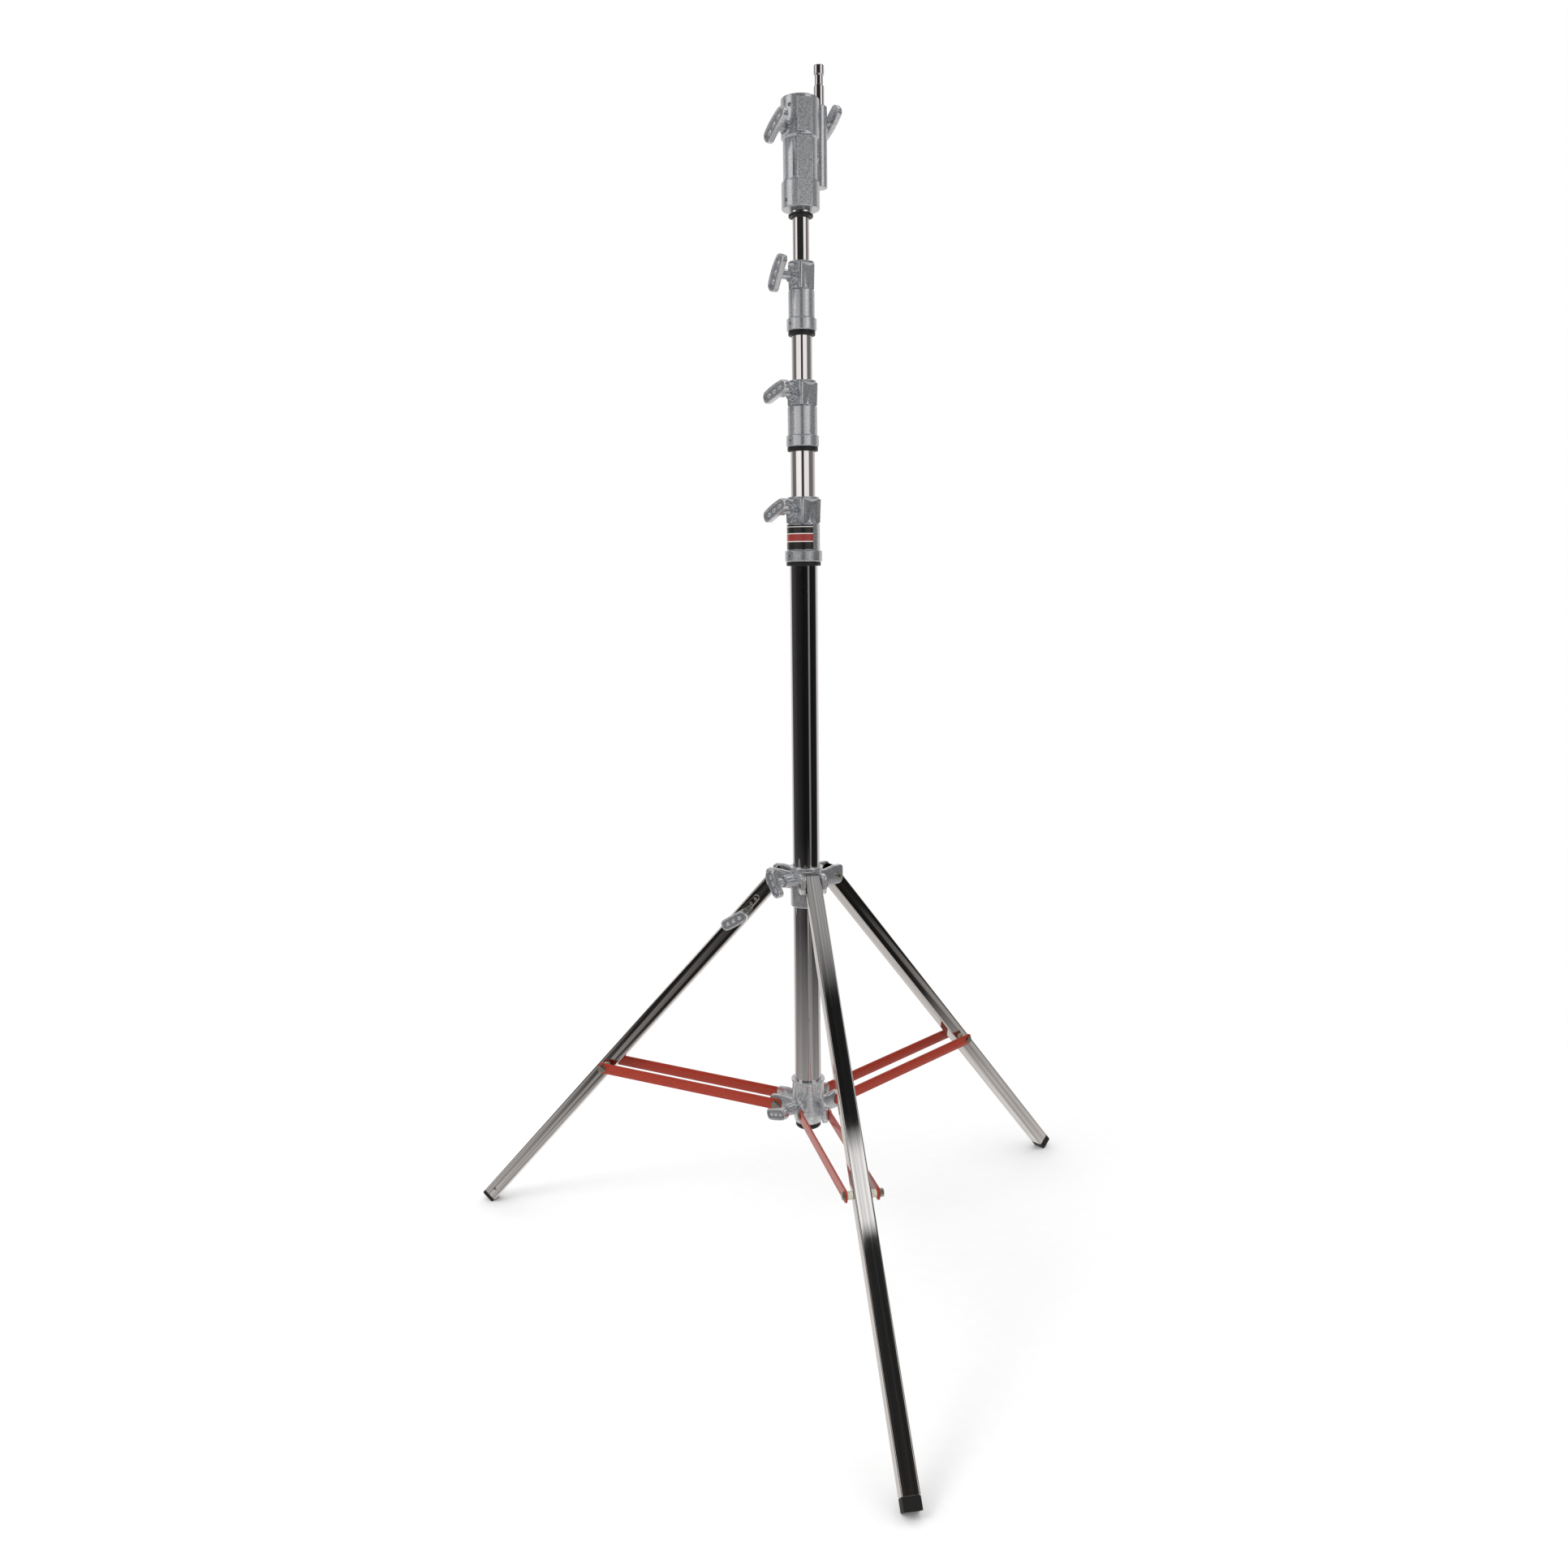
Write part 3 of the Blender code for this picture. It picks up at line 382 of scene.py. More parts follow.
def printed_wrap(foot, top):
    """A printed vinyl wrap: a red band between two black ones, with thin white rules."""
    material, tree, shader = surface("printed_vinyl", {"Coat Weight": 0.4, "Coat Roughness": 0.15})
    place = add(tree, "Attribute", {"attribute_name": "local"}).outputs["Vector"]
    height = add(tree, "SeparateXYZ", None, {"Vector": place}).outputs["Z"]
    share = add(tree, "MapRange", {"From Min": foot, "From Max": top}, {"Value": height})
    black, red, white = linear("161413"), linear("8e2a26"), linear("d9d6d2")
    stops = [(0.0, black), (0.30, white), (0.335, red), (0.62, white), (0.655, black), (0.90, white),
             (0.93, black)]
    bands = add(tree, "ValToRGB", {"stops": stops}, {"Fac": share})
    bands.color_ramp.interpolation = "CONSTANT"
    noise = add(tree, "TexNoise", {"Scale": 1 / (1.5 * MM), "Detail": 3.0}, {"Vector": place})
    gloss = add(tree, "MapRange", {"To Min": 0.25, "To Max": 0.45}, {"Value": noise})
    relief = add(tree, "Bump", {"Distance": 0.01 * MM}, {"Height": noise})
    dress(tree, shader, bands, gloss, relief)
    return material


TUBE_CHROME = chrome_plate("tube_chrome", 0.6, (0.02, 0.07), ("c6c4c6", "dcdbdd"))
LEG_CHROME = chrome_plate("leg_chrome", 0.8, (0.03, 0.10), ("a9a6a4", "dddbda"))
# Zinc die casting, tumbled and plated: satin, with a soft skin about 3 mm across.
CASTING = plain_finish("plated_casting", {"Metallic": 0.82}, 3.0, ("afb2b7", "cbced3"),
                       (0.20, 0.29), 0.004, 2.0)
# Castings that are handled or turn, polished brighter by wear.
WORN_CASTING = plain_finish("worn_casting", {"Metallic": 0.78}, 4.0, ("c0c2c6", "dcdde0"),
                            (0.14, 0.22), 0.002, 2.0)
# The same casting left rough in the recess of a knob, with a finer and deeper grain; its darker colour is
# painted shade for the recess.
ROUGH_CASTING_WITH_PAINTED_SHADE = plain_finish("rough_casting_with_painted_shade", {"Metallic": 0.6}, 1.6, ("7a7c81", "9a9ca1"),
                             (0.32, 0.45), 0.02, 2.0)
ZINC = plain_finish("zinc_plate", {"Metallic": 1.0}, 1.2, ("9a968a", "bdb9ad"), (0.24, 0.38), 0.004, 2.0)
RUBBER = plain_finish("moulded_rubber", {}, 0.8, ("0d0d0d", "1d1c1b"), (0.62, 0.82), 0.04)
BLACK_NYLON = plain_finish("black_nylon", {}, 0.9, ("0e0e0f", "1a191a"), (0.38, 0.55), 0.02)
WHITE_NYLON = plain_finish("white_nylon", {"Subsurface Weight": 0.1, "Subsurface Scale": 0.004}, 1.2,
                           ("cfc8b6", "e6e1d3"), (0.35, 0.5), 0.02)
ENAMEL = red_enamel()


# ------------ T-knobs

KNOB_W, KNOB_T, ARCH = 20.0 * MM, 9.0 * MM, 2.0 * MM
END_TAPER = 0.12                   # how much narrower the bar is at its ends
RIM_W, RECESS_DEPTH = 2.8 * MM, 2.2 * MM
FLOOR_INSET, FLOOR_FOOT, FLOOR_TOP = 2.9 * MM, KNOB_T - 2.3 * MM, KNOB_T - 2.05 * MM
BIG_BAR, SMALL_BAR = 56 * MM, 49 * MM
SHAFT_R = 4.0 * MM


def arch_rise(y, length):
    """How far the arched bar rises at a distance y from its middle."""
    return ARCH * (1.0 - (2 * y / length) ** 2)


def arched(bm, length, half):
    """Slice a piece of the bar across, then bend it to the arch and narrow it towards its ends."""
    for step in range(-9, 10):
        bmesh.ops.bisect_plane(bm, geom=bm.verts[:] + bm.edges[:] + bm.faces[:],
                               plane_co=(0, step * half / 10, 0), plane_no=(0, 1, 0))
    for v in bm.verts:
        v.co.z += arch_rise(v.co.y, length)
        v.co.x *= 1.0 - END_TAPER * (2 * v.co.y / length) ** 2
    return bm


def handle_bar(length):
    """The arched bar, with a raised rim round a recess."""
    half, side = length / 2, KNOB_W / 2
    bm = slab(rectangle(-side, -half, side, half, 8 * MM, 8), 0.0, KNOB_T)
    face = max(bm.faces, key=lambda f: f.calc_center_median().z)
    bmesh.ops.inset_region(bm, faces=[face], thickness=RIM_W, use_even_offset=True)
    sunk = bmesh.ops.extrude_face_region(bm, geom=[face])["geom"]
    bmesh.ops.delete(bm, geom=[face], context="FACES_ONLY")
    bmesh.ops.translate(bm, vec=(0, 0, -RECESS_DEPTH), verts=verts_of(sunk))
    bmesh.ops.recalc_face_normals(bm, faces=bm.faces)
    round_rims(bm, 0.9 * MM, 3)
    return arched(bm, length, half)


def recess_floor(length):
    """The rough floor of the bar's recess, a thin arched plate."""
    half, side = length / 2 - FLOOR_INSET, KNOB_W / 2 - FLOOR_INSET
    return arched(slab(rectangle(-side, -half, side, half, 5 * MM, 8), FLOOR_FOOT, FLOOR_TOP), length, half)


def lozenges(length):
    """Raised lozenges on the floor of the recess."""
    shapes = []
    for step in (-1, 0, 1):
        bm = bmesh.new()
        bmesh.ops.create_uvsphere(bm, u_segments=20, v_segments=12, radius=1.0)
        bmesh.ops.scale(bm, vec=(3.2 * MM, length * 0.085, 1.3 * MM), verts=bm.verts)
        y = step * length * 0.24
        shapes.append(moved(bm, Matrix.Translation((0, y, FLOOR_FOOT + arch_rise(y, length)))))
    return shapes


def knob(name, shaft_from, reach, length, neck_len, place, neck_r=7.5 * MM):
    """A T-knob in its own frame: +X outward along the screw, the bar along Z. Its pieces start with
    the name that its body and its CAD node share."""
    on_neck = Matrix.Translation((reach, 0, 0)) @ FACING_X
    start = reach - neck_len
    neck = turned(outline((0.0, start), (neck_r - 1.2 * MM, start, 0.5 * MM),
                          (neck_r, start + 1.2 * MM, 0.5 * MM), (neck_r, reach + 1 * MM),
                          (neck_r, reach + 3 * MM), (0.0, reach + 3 * MM)), 48)
    screw = threaded(SHAFT_R, shaft_from, start + 1 * MM)
    made = united(moved(handle_bar(length), on_neck), (moved(neck, ALONG_X), moved(screw, ALONG_X)))
    piece(f"{name}_fine", made, WORN_CASTING, name, (name,), place)
    # the recess floor's darker colour is painted shade; its rougher, deeper grain is real
    piece(f"{name}_recess", moved(recess_floor(length), on_neck), ROUGH_CASTING_WITH_PAINTED_SHADE, name, (), place)
    for number, bm in enumerate(lozenges(length), start=1):
        piece(f"{name}_relief_{number}", moved(bm, on_neck), WORN_CASTING, name, (), place)


def knob_place(height, degree, tilt):
    return COLUMN @ at(height) @ azimuth(degree) @ Matrix.Rotation(radians(tilt), 4, "X")


# ------------ the column

WALL = 1.6 * MM
TOP_RISER_R = 12.7 * MM            # above its swaged foot
BLOCK_FLAT = 0.93                  # a block's half width over its radius
BAND_SLEEVE = ((17.6 * MM, 42.7 * MM), (17.7 * MM, 44.9 * MM), (18.9 * MM, 42.3 * MM))
COLLAR_RADII = (                   # band, sleeve, block and rim
    (29.7 * MM, 26.2 * MM, 22.6 * MM, 25.7 * MM),
    (25.6 * MM, 23.2 * MM, 19.6 * MM, 22.4 * MM),
    (23.2 * MM, 20.3 * MM, 16.9 * MM, 20.6 * MM),
)
COLLAR_TILTS = (-64.0, -70.0, -28.0)
COLLAR_REACH = (29.0 * MM, 29.0 * MM, 26.0 * MM)
COLUMN_BODIES = ("column", "riser_1", "riser_2", "riser_3")
TUBES = ("base_tube", "riser_1_tube", "riser_2_tube", "riser_3_tube")


def chrome_tubes():
    """The four telescoping tubes, each with broken edges at its ends."""
    for node, body in zip(TUBES, COLUMN_BODIES):
        r = TOP_RISER_R if node == "riser_3_tube" else radius_of(node)
        bore, foot, top = r - WALL, foot_of(node), top_of(node)
        corners = [(bore, foot, 0.3 * MM), (r, foot, 0.3 * MM), (r, top, 0.3 * MM), (bore, top, 0.3 * MM)]
        if node == "riser_3_tube":
            wide = radius_of(node)
            corners[1:2] = [(wide, foot, 0.3 * MM), (wide, foot + 14 * MM, 0.3 * MM),
                            (r, foot + 16 * MM, 0.3 * MM)]
        piece(f"{node}_fine", turned(outline(*corners, steps=3), 128), TUBE_CHROME, body, (node,),
              sharp=18.0)


def collar_block(foot, top, block_r, rim_r):
    """The faceted block: a square with rounded corners, a lead-in below, and a scalloped rim."""
    side = block_r * BLOCK_FLAT
    body = slab(rectangle(-side, -side, side, side, 3.6 * MM, 6), foot, top - 3.2 * MM, 0.9 * MM)
    for v in body.verts:
        below = max(0.0, foot + 3 * MM - v.co.z) / (3 * MM)
        v.co.x *= 1.0 - 0.07 * below
        v.co.y *= 1.0 - 0.07 * below
    flare = turned(outline((0.0, top - 8 * MM), (block_r * 0.9, top - 8 * MM),
                           (block_r, top - 6.2 * MM, 1 * MM), (rim_r - 0.6 * MM, top - 3.6 * MM, 0.8 * MM),
                           (rim_r, top - 1.4 * MM, 0.7 * MM), (rim_r - 0.9 * MM, top, 0.5 * MM),
                           (0.0, top)))
    for v in flare.verts:
        if v.co.z > top - 7 * MM:
            around = atan2(v.co.y, v.co.x)
            pull = 1.0 - 0.035 * (1.0 - abs(cos(2 * around)))
            v.co.x *= pull
            v.co.y *= pull
    return moved(body, azimuth(KNOB_AZIMUTH)), moved(flare, azimuth(KNOB_AZIMUTH + 45))


def collars():
    """Three clamp collars, each with its bumper ring below and its knob at the side."""
    for number in (1, 2, 3):
        node, body = f"collar_{number}", COLUMN_BODIES[number - 1]
        band_r, sleeve_r, block_r, rim_r = COLLAR_RADII[number - 1]
        band_h, sleeve_h = BAND_SLEEVE[number - 1]
        foot, top, height = foot_of(node), top_of(node), COLLAR_KNOB_Z[number - 1]
        band, block = foot + band_h, foot + band_h + sleeve_h
        tube_r = radius_of(TUBES[number - 1])
        riser_r = TOP_RISER_R if number == 3 else radius_of(TUBES[number])
        shell = turned(outline((0.0, foot), (band_r - 0.6 * MM, foot, 0.5 * MM),
                               (band_r, foot + 1.4 * MM, 0.6 * MM), (band_r, band - 1.6 * MM, 0.8 * MM),
                               (sleeve_r, band, 0.5 * MM), (sleeve_r, block - 2.2 * MM, 0.9 * MM),
                               (block_r * 0.97, block + 0.4 * MM, 0.5 * MM), (block_r * 0.9, block + 6 * MM),
                               (0.0, block + 6 * MM)))
        square, flare = collar_block(block - 0.6 * MM, top, block_r, rim_r)
        side = at(height) @ azimuth(KNOB_AZIMUTH)
        boss_end = block_r + 7 * MM
        boss = turned(outline((0.0, riser_r + 1 * MM), (11.4 * MM, riser_r + 1 * MM),
                              (11.4 * MM, block_r * BLOCK_FLAT + 1.4 * MM, 0.6 * MM),
                              (10.4 * MM, block_r * BLOCK_FLAT + 2.2 * MM, 0.5 * MM),
                              (10.2 * MM, boss_end, 1.0 * MM), (0.0, boss_end)), 64)
        socket = rod(2.4 * MM, band_r - 2 * MM, band_r + 2 * MM, sides=6)
        screw_side = at(foot + band_h / 2) @ azimuth(KNOB_AZIMUTH)
        cuts = (rod(tube_r + GAP, foot - 1 * MM, block - 3 * MM, sides=ROUND),
                rod(riser_r + GAP, foot - 1 * MM, top + 1 * MM, sides=ROUND),
                moved(rod(SHAFT_R + GAP, riser_r - 2 * MM, boss_end + 1 * MM), side, ALONG_X),
                moved(socket, screw_side, ALONG_X))
        made = united(shell, (square, flare, moved(boss, side, ALONG_X)), cuts)
        piece(f"{node}_fine", made, CASTING, body, (node,))
        ring_node = f"collar_ring_{number}"
        bumper = ring(tube_r + GAP, radius_of(ring_node), foot_of(ring_node), top_of(ring_node), 1.3 * MM)
        piece(f"{ring_node}_fine", bumper, BLACK_NYLON, body, (ring_node,))
        reach = block_r + COLLAR_REACH[number - 1]
        knob(f"knob_{node}", riser_r + 0.6 * MM, reach, BIG_BAR, 11 * MM,
             knob_place(height, KNOB_AZIMUTH, COLLAR_TILTS[number - 1]))


def label_wrap():
    """The printed wrap round the first collar's sleeve, open on one side."""
    sleeve_foot = foot_of("collar_1") + BAND_SLEEVE[0][0]
    foot, top, r = sleeve_foot + 1.2 * MM, sleeve_foot + 39.5 * MM, COLLAR_RADII[0][1] + 0.06 * MM
    bm = bmesh.new()
    ends = [bm.verts.new((r, 0.0, z)) for z in (foot, top)]
    edge = bm.edges.new(ends)
    bmesh.ops.spin(bm, geom=ends + [edge], cent=(0, 0, 0), axis=(0, 0, 1), angle=radians(-270), steps=72)
    bmesh.ops.recalc_face_normals(bm, faces=bm.faces)
    bmesh.ops.solidify(bm, geom=bm.faces[:], thickness=-0.12 * MM)
    piece("collar_1_wrap", moved(bm, azimuth(-66.0)), printed_wrap(foot, top), "column")


# ------------ the head

HEAD_WAIST_R, HEAD_BAND_R = 26.3 * MM, 29.2 * MM
LOW_BAND_TOP, HIGH_BAND_FOOT = 1766.0 * MM, 1824.0 * MM
BUSH_R, BUSH_H = 17.0 * MM, 6.0 * MM
SOCKET_R, SOCKET_FLOOR = 14.3 * MM, 1779.0 * MM
PIN_R, PIN_OFFSET = 7.94 * MM, 39.0 * MM
PIN_BOSS_R, PIN_BOSS_FOOT, PIN_BOSS_TOP = 12.2 * MM, 1762.8 * MM, 1880.1 * MM
PIN_HOLE_FOOT, OVAL_RECESS_Z = 1776.0 * MM, 1800.0 * MM


def head():
    """The head casting: two bands round a waist, raised front panels, a socket, and the pin's boss."""
    foot = foot_of("receiver") + BUSH_H
    top = top_of("receiver")
    step = HEAD_BAND_R - HEAD_WAIST_R
    body = turned(outline(
        (0.0, foot), (HEAD_BAND_R, foot, 1.6 * MM), (HEAD_BAND_R, LOW_BAND_TOP - step, 0.8 * MM),
        (HEAD_WAIST_R, LOW_BAND_TOP, 0.8 * MM), (HEAD_WAIST_R, HIGH_BAND_FOOT, 0.8 * MM),
        (HEAD_BAND_R, HIGH_BAND_FOOT + step, 0.8 * MM), (HEAD_BAND_R, top - 1.8 * MM, 1 * MM),
        (HEAD_BAND_R - 1.8 * MM, top, 0.8 * MM), (0.0, top)), 128)
    front = azimuth(273.0)
    panels = []
    for z0, z1, width, proud in ((foot + 1 * MM, LOW_BAND_TOP - 1 * MM, 23.0 * MM, 0.7 * MM),
                                 (LOW_BAND_TOP - 4 * MM, HIGH_BAND_FOOT + 1 * MM, 25.0 * MM, 0.0),
                                 (HIGH_BAND_FOOT + 6 * MM, top - 5 * MM, 24.0 * MM, 0.7 * MM)):
        near, far = (16 * MM, -width / 2, z0), (HEAD_BAND_R + proud, width / 2, z1)
        panels.append(moved(bar(near, far, 1.2 * MM, 4), front))
        for side in (-1, 1):
            y = side * (width / 2 - 1.1 * MM)
            rib = bar((20 * MM, y - 0.9 * MM, z0 + 1 * MM),
                      (far[0] + 0.5 * MM, y + 0.9 * MM, z1 - 1 * MM), 0.7 * MM, 4)
            panels.append(moved(rib, front))
    baby = azimuth(BABY_AZIMUTH)
    pin = baby @ Matrix.Translation((PIN_OFFSET, 0, 0))
    boss = moved(rod(PIN_BOSS_R, PIN_BOSS_FOOT, PIN_BOSS_TOP, 1.2 * MM, 64), pin)
    web = moved(bar((16 * MM, -9.5 * MM, PIN_BOSS_FOOT + 1 * MM),
                    (PIN_OFFSET, 9.5 * MM, PIN_BOSS_TOP - 1 * MM), 1.5 * MM), baby)
    knob_side = at(HEAD_KNOB_Z) @ azimuth(KNOB_AZIMUTH)
    pin_knob_side = at(PIN_KNOB_Z) @ baby
    boss_end = HEAD_BAND_R + 3.4 * MM
    knob_boss = turned(outline((0.0, 17 * MM), (11.0 * MM, 17 * MM), (11.0 * MM, boss_end - 2 * MM, 0.6 * MM),
                               (9.6 * MM, boss_end, 0.6 * MM), (0.0, boss_end)), 64)
    pin_boss = rod(7.8 * MM, PIN_OFFSET + 9 * MM, PIN_OFFSET + PIN_BOSS_R + 1 * MM, 0.6 * MM, 48)
    hole_side = at(foot + 10.5 * MM) @ azimuth(KNOB_AZIMUTH)
    riser_top = top_of("riser_3_tube")
    recess = bmesh.new()
    bmesh.ops.create_uvsphere(recess, u_segments=32, v_segments=20, radius=1.0)
    bmesh.ops.scale(recess, vec=(3.2 * MM, 2.2 * MM, 9 * MM), verts=recess.verts)
    cuts = (
        moved(bar((19.5 * MM, -16.8 * MM, LOW_BAND_TOP + 2 * MM),
                  (27 * MM, -13.2 * MM, HIGH_BAND_FOOT - 1 * MM), 0.5 * MM), front),
        moved(recess, baby @ Matrix.Translation((28 * MM, -9.8 * MM, OVAL_RECESS_Z))),
        moved(rod(SHAFT_R + GAP, 8 * MM, boss_end + 2 * MM), knob_side, ALONG_X),
        moved(rod(SHAFT_R + GAP, PIN_OFFSET + 5 * MM, PIN_OFFSET + 22 * MM), pin_knob_side, ALONG_X),
        moved(rod(3.0 * MM, HEAD_BAND_R - 3 * MM, HEAD_BAND_R + 3 * MM, sides=24), hole_side, ALONG_X),
        moved(rod(PIN_R + GAP, PIN_HOLE_FOOT, PIN_BOSS_TOP + 1 * MM, sides=64), pin),
        rod(4.0 * MM, riser_top - 6 * MM, SOCKET_FLOOR + 5 * MM),
        rod(TOP_RISER_R + GAP, foot - 9 * MM, riser_top + GAP, sides=ROUND),
        turned(outline((0.0, SOCKET_FLOOR), (SOCKET_R, SOCKET_FLOOR, 0.8 * MM), (SOCKET_R, top - 1.2 * MM),
                       (SOCKET_R + 1.4 * MM, top + 0.2 * MM), (SOCKET_R + 1.4 * MM, top + 2 * MM),
                       (0.0, top + 2 * MM)), 128),
    )
    made = united(body, (*panels, boss, web, moved(knob_boss, knob_side, ALONG_X),
                         moved(pin_boss, pin_knob_side, ALONG_X)), cuts)
    piece("receiver_fine", made, CASTING, "riser_3", ("receiver",))
    screw = turned(outline((0.0, HEAD_BAND_R - 2 * MM), (3.0 * MM, HEAD_BAND_R - 2 * MM),
                           (3.0 * MM, HEAD_BAND_R + 0.4 * MM, 0.8 * MM), (1.3 * MM, HEAD_BAND_R + 0.9 * MM),
                           (1.1 * MM, HEAD_BAND_R + 0.1 * MM), (0.0, HEAD_BAND_R + 0.1 * MM)), 32)
    piece("receiver_screw", moved(screw, at(top - 15 * MM), azimuth(226.0), ALONG_X), ZINC, "riser_3")
    bush = ring(TOP_RISER_R + GAP, BUSH_R, foot - BUSH_H, foot + 1 * MM, 0.8 * MM)
    piece("receiver_bush", bush, TUBE_CHROME, "riser_3")
    node = "receiver_ring"
    bumper = ring(TOP_RISER_R + GAP, radius_of(node), foot_of(node), top_of(node), 1.2 * MM)
    piece(f"{node}_fine", bumper, BLACK_NYLON, "riser_3", (node,))
    knob("knob_receiver", SOCKET_R + 2 * MM, 43 * MM, BIG_BAR, 8 * MM,
         knob_place(HEAD_KNOB_Z, KNOB_AZIMUTH, -50.0))
    knob("knob_baby_pin", PIN_OFFSET + PIN_R + 1.2 * MM, 56 * MM, BIG_BAR, 3 * MM,
         knob_place(PIN_KNOB_Z, BABY_AZIMUTH, 48.0), 6.5 * MM)


def baby_pin():
    """The 16 mm pin with its turned waist and a broken edge on top."""
    foot, top = foot_of("baby_pin"), top_of("baby_pin")
    neck = PIN_R - 1.6 * MM
    points = outline((0.0, foot), (PIN_R, foot, 0.5 * MM), (PIN_R, top - 30.2 * MM, 0.3 * MM),
                     (neck, top - 28.6 * MM, 0.3 * MM), (neck, top - 14.9 * MM, 0.3 * MM),
                     (PIN_R, top - 13.3 * MM, 0.3 * MM), (PIN_R, top, 1.3 * MM), (0.0, top))
    place = COLUMN @ azimuth(BABY_AZIMUTH) @ Matrix.Translation((PIN_OFFSET, 0, 0))
    piece("baby_pin_fine", turned(points, 64), TUBE_CHROME, "baby_pin", ("baby_pin",), place,
          18.0)


# ------------ the base

BASE_R = radius_of("base_tube")
HUB_R, CASTING_R = 26.3 * MM, 27.0 * MM
BOSS_R, BOSS_REACH, KNOB_REACH = 10.0 * MM, 50.0 * MM, 64.0 * MM
BOLT_R = 3.1 * MM
HUB_RIM = 697.0 * MM
LUG_INNER, LUG_OUTER = 13.2 * MM, 21.0 * MM          # the hub's lugs, from a leg's middle plane
FORK_INNER, FORK_OUTER = 13.6 * MM, 21.6 * MM        # the lower casting's


def lugs(inner, outer, reach, below, above, pivot_z, nose):
    """Three pairs of lugs with rounded noses and a swept top edge, one pair to each leg."""
    shapes = []
    for degree in LEG_AZIMUTHS.values():
        for side in (-1, 1):
            y0, y1 = sorted((side * inner, side * outer))
            side_view = outline((17 * MM, -below), (reach, -below, nose), (reach, above, nose * 0.6),
                                (reach - 18 * MM, above, 8 * MM), (27 * MM, above - 3.5 * MM, 4 * MM),
                                (17 * MM, above - 3.5 * MM), steps=8)
            lug = slab(side_view, -y1, -y0, 1.1 * MM)
            shapes.append(moved(lug, azimuth(degree), at(pivot_z), UPRIGHT))
    return shapes


def bolt_holes(radius, height):
    """Through holes for the bolts across each leg."""
    return [moved(rod(BOLT_R + GAP, -40 * MM, 40 * MM),
                  azimuth(degree) @ Matrix.Translation((radius, 0, height)), ALONG_Y)
            for degree in LEG_AZIMUTHS.values()]


def base_knob_boss(body_r, side):
    """A boss for the screw of a knob on the base, and the hole through it."""
    boss = turned(outline((0.0, BASE_R + 1 * MM), (BOSS_R + 1.5 * MM, BASE_R + 1 * MM),
                          (BOSS_R, body_r + 7 * MM, 3 * MM), (BOSS_R, BOSS_REACH, 1.2 * MM),
                          (0.0, BOSS_REACH)), 64)
    hole = rod(SHAFT_R + GAP, BASE_R - 1 * MM, KNOB_REACH)
    return moved(boss, side, ALONG_X), moved(hole, side, ALONG_X)


def hub():
    """The casting that carries the legs and slides on the base tube, and its knob."""
    foot, rim = foot_of("leg_hub"), HUB_RIM
    body = turned(outline((0.0, foot), (HUB_R, foot, 1.6 * MM), (HUB_R, rim - 6.5 * MM, 1.5 * MM),
                          (HUB_R + 1.5 * MM, rim - 4 * MM, 1 * MM), (HUB_R + 1.5 * MM, rim, 1.2 * MM),
                          (0.0, rim)))
    boss, screw_hole = base_knob_boss(HUB_R, at(HUB_KNOB_Z) @ azimuth(KNOB_AZIMUTH))
    joins = lugs(LUG_INNER, LUG_OUTER, 64.0 * MM, 14 * MM, 18 * MM, PIVOT_Z, 10 * MM) + [boss]
    bore = rod(BASE_R + 0.35 * MM, foot - 1 * MM, rim + 1 * MM, sides=128)
    made = united(body, joins, bolt_holes(PIVOT_R, PIVOT_Z) + [screw_hole, bore])
    piece("leg_hub_fine", made, WORN_CASTING, "hub", ("leg_hub",))
    knob("knob_hub", BASE_R + 0.6 * MM, KNOB_REACH, SMALL_BAR, 10 * MM,
         knob_place(HUB_KNOB_Z, KNOB_AZIMUTH, 32.0))


def lower_casting():
    """The casting at the foot of the base tube, where the straps turn, its knob, and the tube's plug."""
    foot, rim = foot_of("lower_casting"), top_of("lower_casting")
    body = turned(outline((0.0, foot), (22.9 * MM, foot, 0.3 * MM), (CASTING_R, foot + 14 * MM, 3 * MM),
                          (CASTING_R, rim - 5.5 * MM, 1.2 * MM),
                          (CASTING_R + 1.6 * MM, rim - 3.5 * MM, 0.8 * MM),
                          (CASTING_R + 1.6 * MM, rim, 1 * MM), (0.0, rim)))
    boss, screw_hole = base_knob_boss(CASTING_R, at(FORK_Z) @ azimuth(KNOB_AZIMUTH))
    joins = lugs(FORK_INNER, FORK_OUTER, 62.0 * MM, 15 * MM, 15 * MM, FORK_Z, 9 * MM) + [boss]
    bore = rod(BASE_R + GAP, foot - 1 * MM, rim + 1 * MM, sides=128)
    made = united(body, joins, bolt_holes(FORK_R, FORK_Z) + [screw_hole, bore])
    piece("lower_casting_fine", made, WORN_CASTING, "column", ("lower_casting",))
    knob("knob_casting", BASE_R + 0.6 * MM, KNOB_REACH, SMALL_BAR, 10 * MM,
         knob_place(FORK_Z, KNOB_AZIMUTH, 106.0))
    plug_foot, plug_top, tube_foot = foot_of("end_plug"), top_of("end_plug"), foot_of("base_tube")
    bore_r = BASE_R - WALL - GAP
    plug = turned(outline((0.0, plug_foot), (18.5 * MM, plug_foot, 1.5 * MM),
                          (21.5 * MM, plug_foot + 3 * MM, 1 * MM), (21.5 * MM, tube_foot - GAP, 0.4 * MM),
                          (bore_r, tube_foot - GAP), (bore_r, plug_top, 1 * MM), (0.0, plug_top)))
    piece("end_plug_fine", plug, BLACK_NYLON, "column", ("end_plug",))


# ------------ legs and feet

LEG_SIZE, LEG_WALL, LEG_CORNER = 25.4 * MM, 1.5 * MM, 2.4 * MM
LEG_ABOVE, TUBE_END, LEVEL_EXTRA, TIP = 11.0 * MM, 876.1 * MM, 9.0 * MM, 893.5 * MM
LEG_TO_BOLT = 496.3 * MM           # from the hub's pivot to the strap's bolt
LEG_KNOB_AT = -98.0 * MM
RIVETS_AT = (-50 * MM, -62 * MM, -76 * MM)


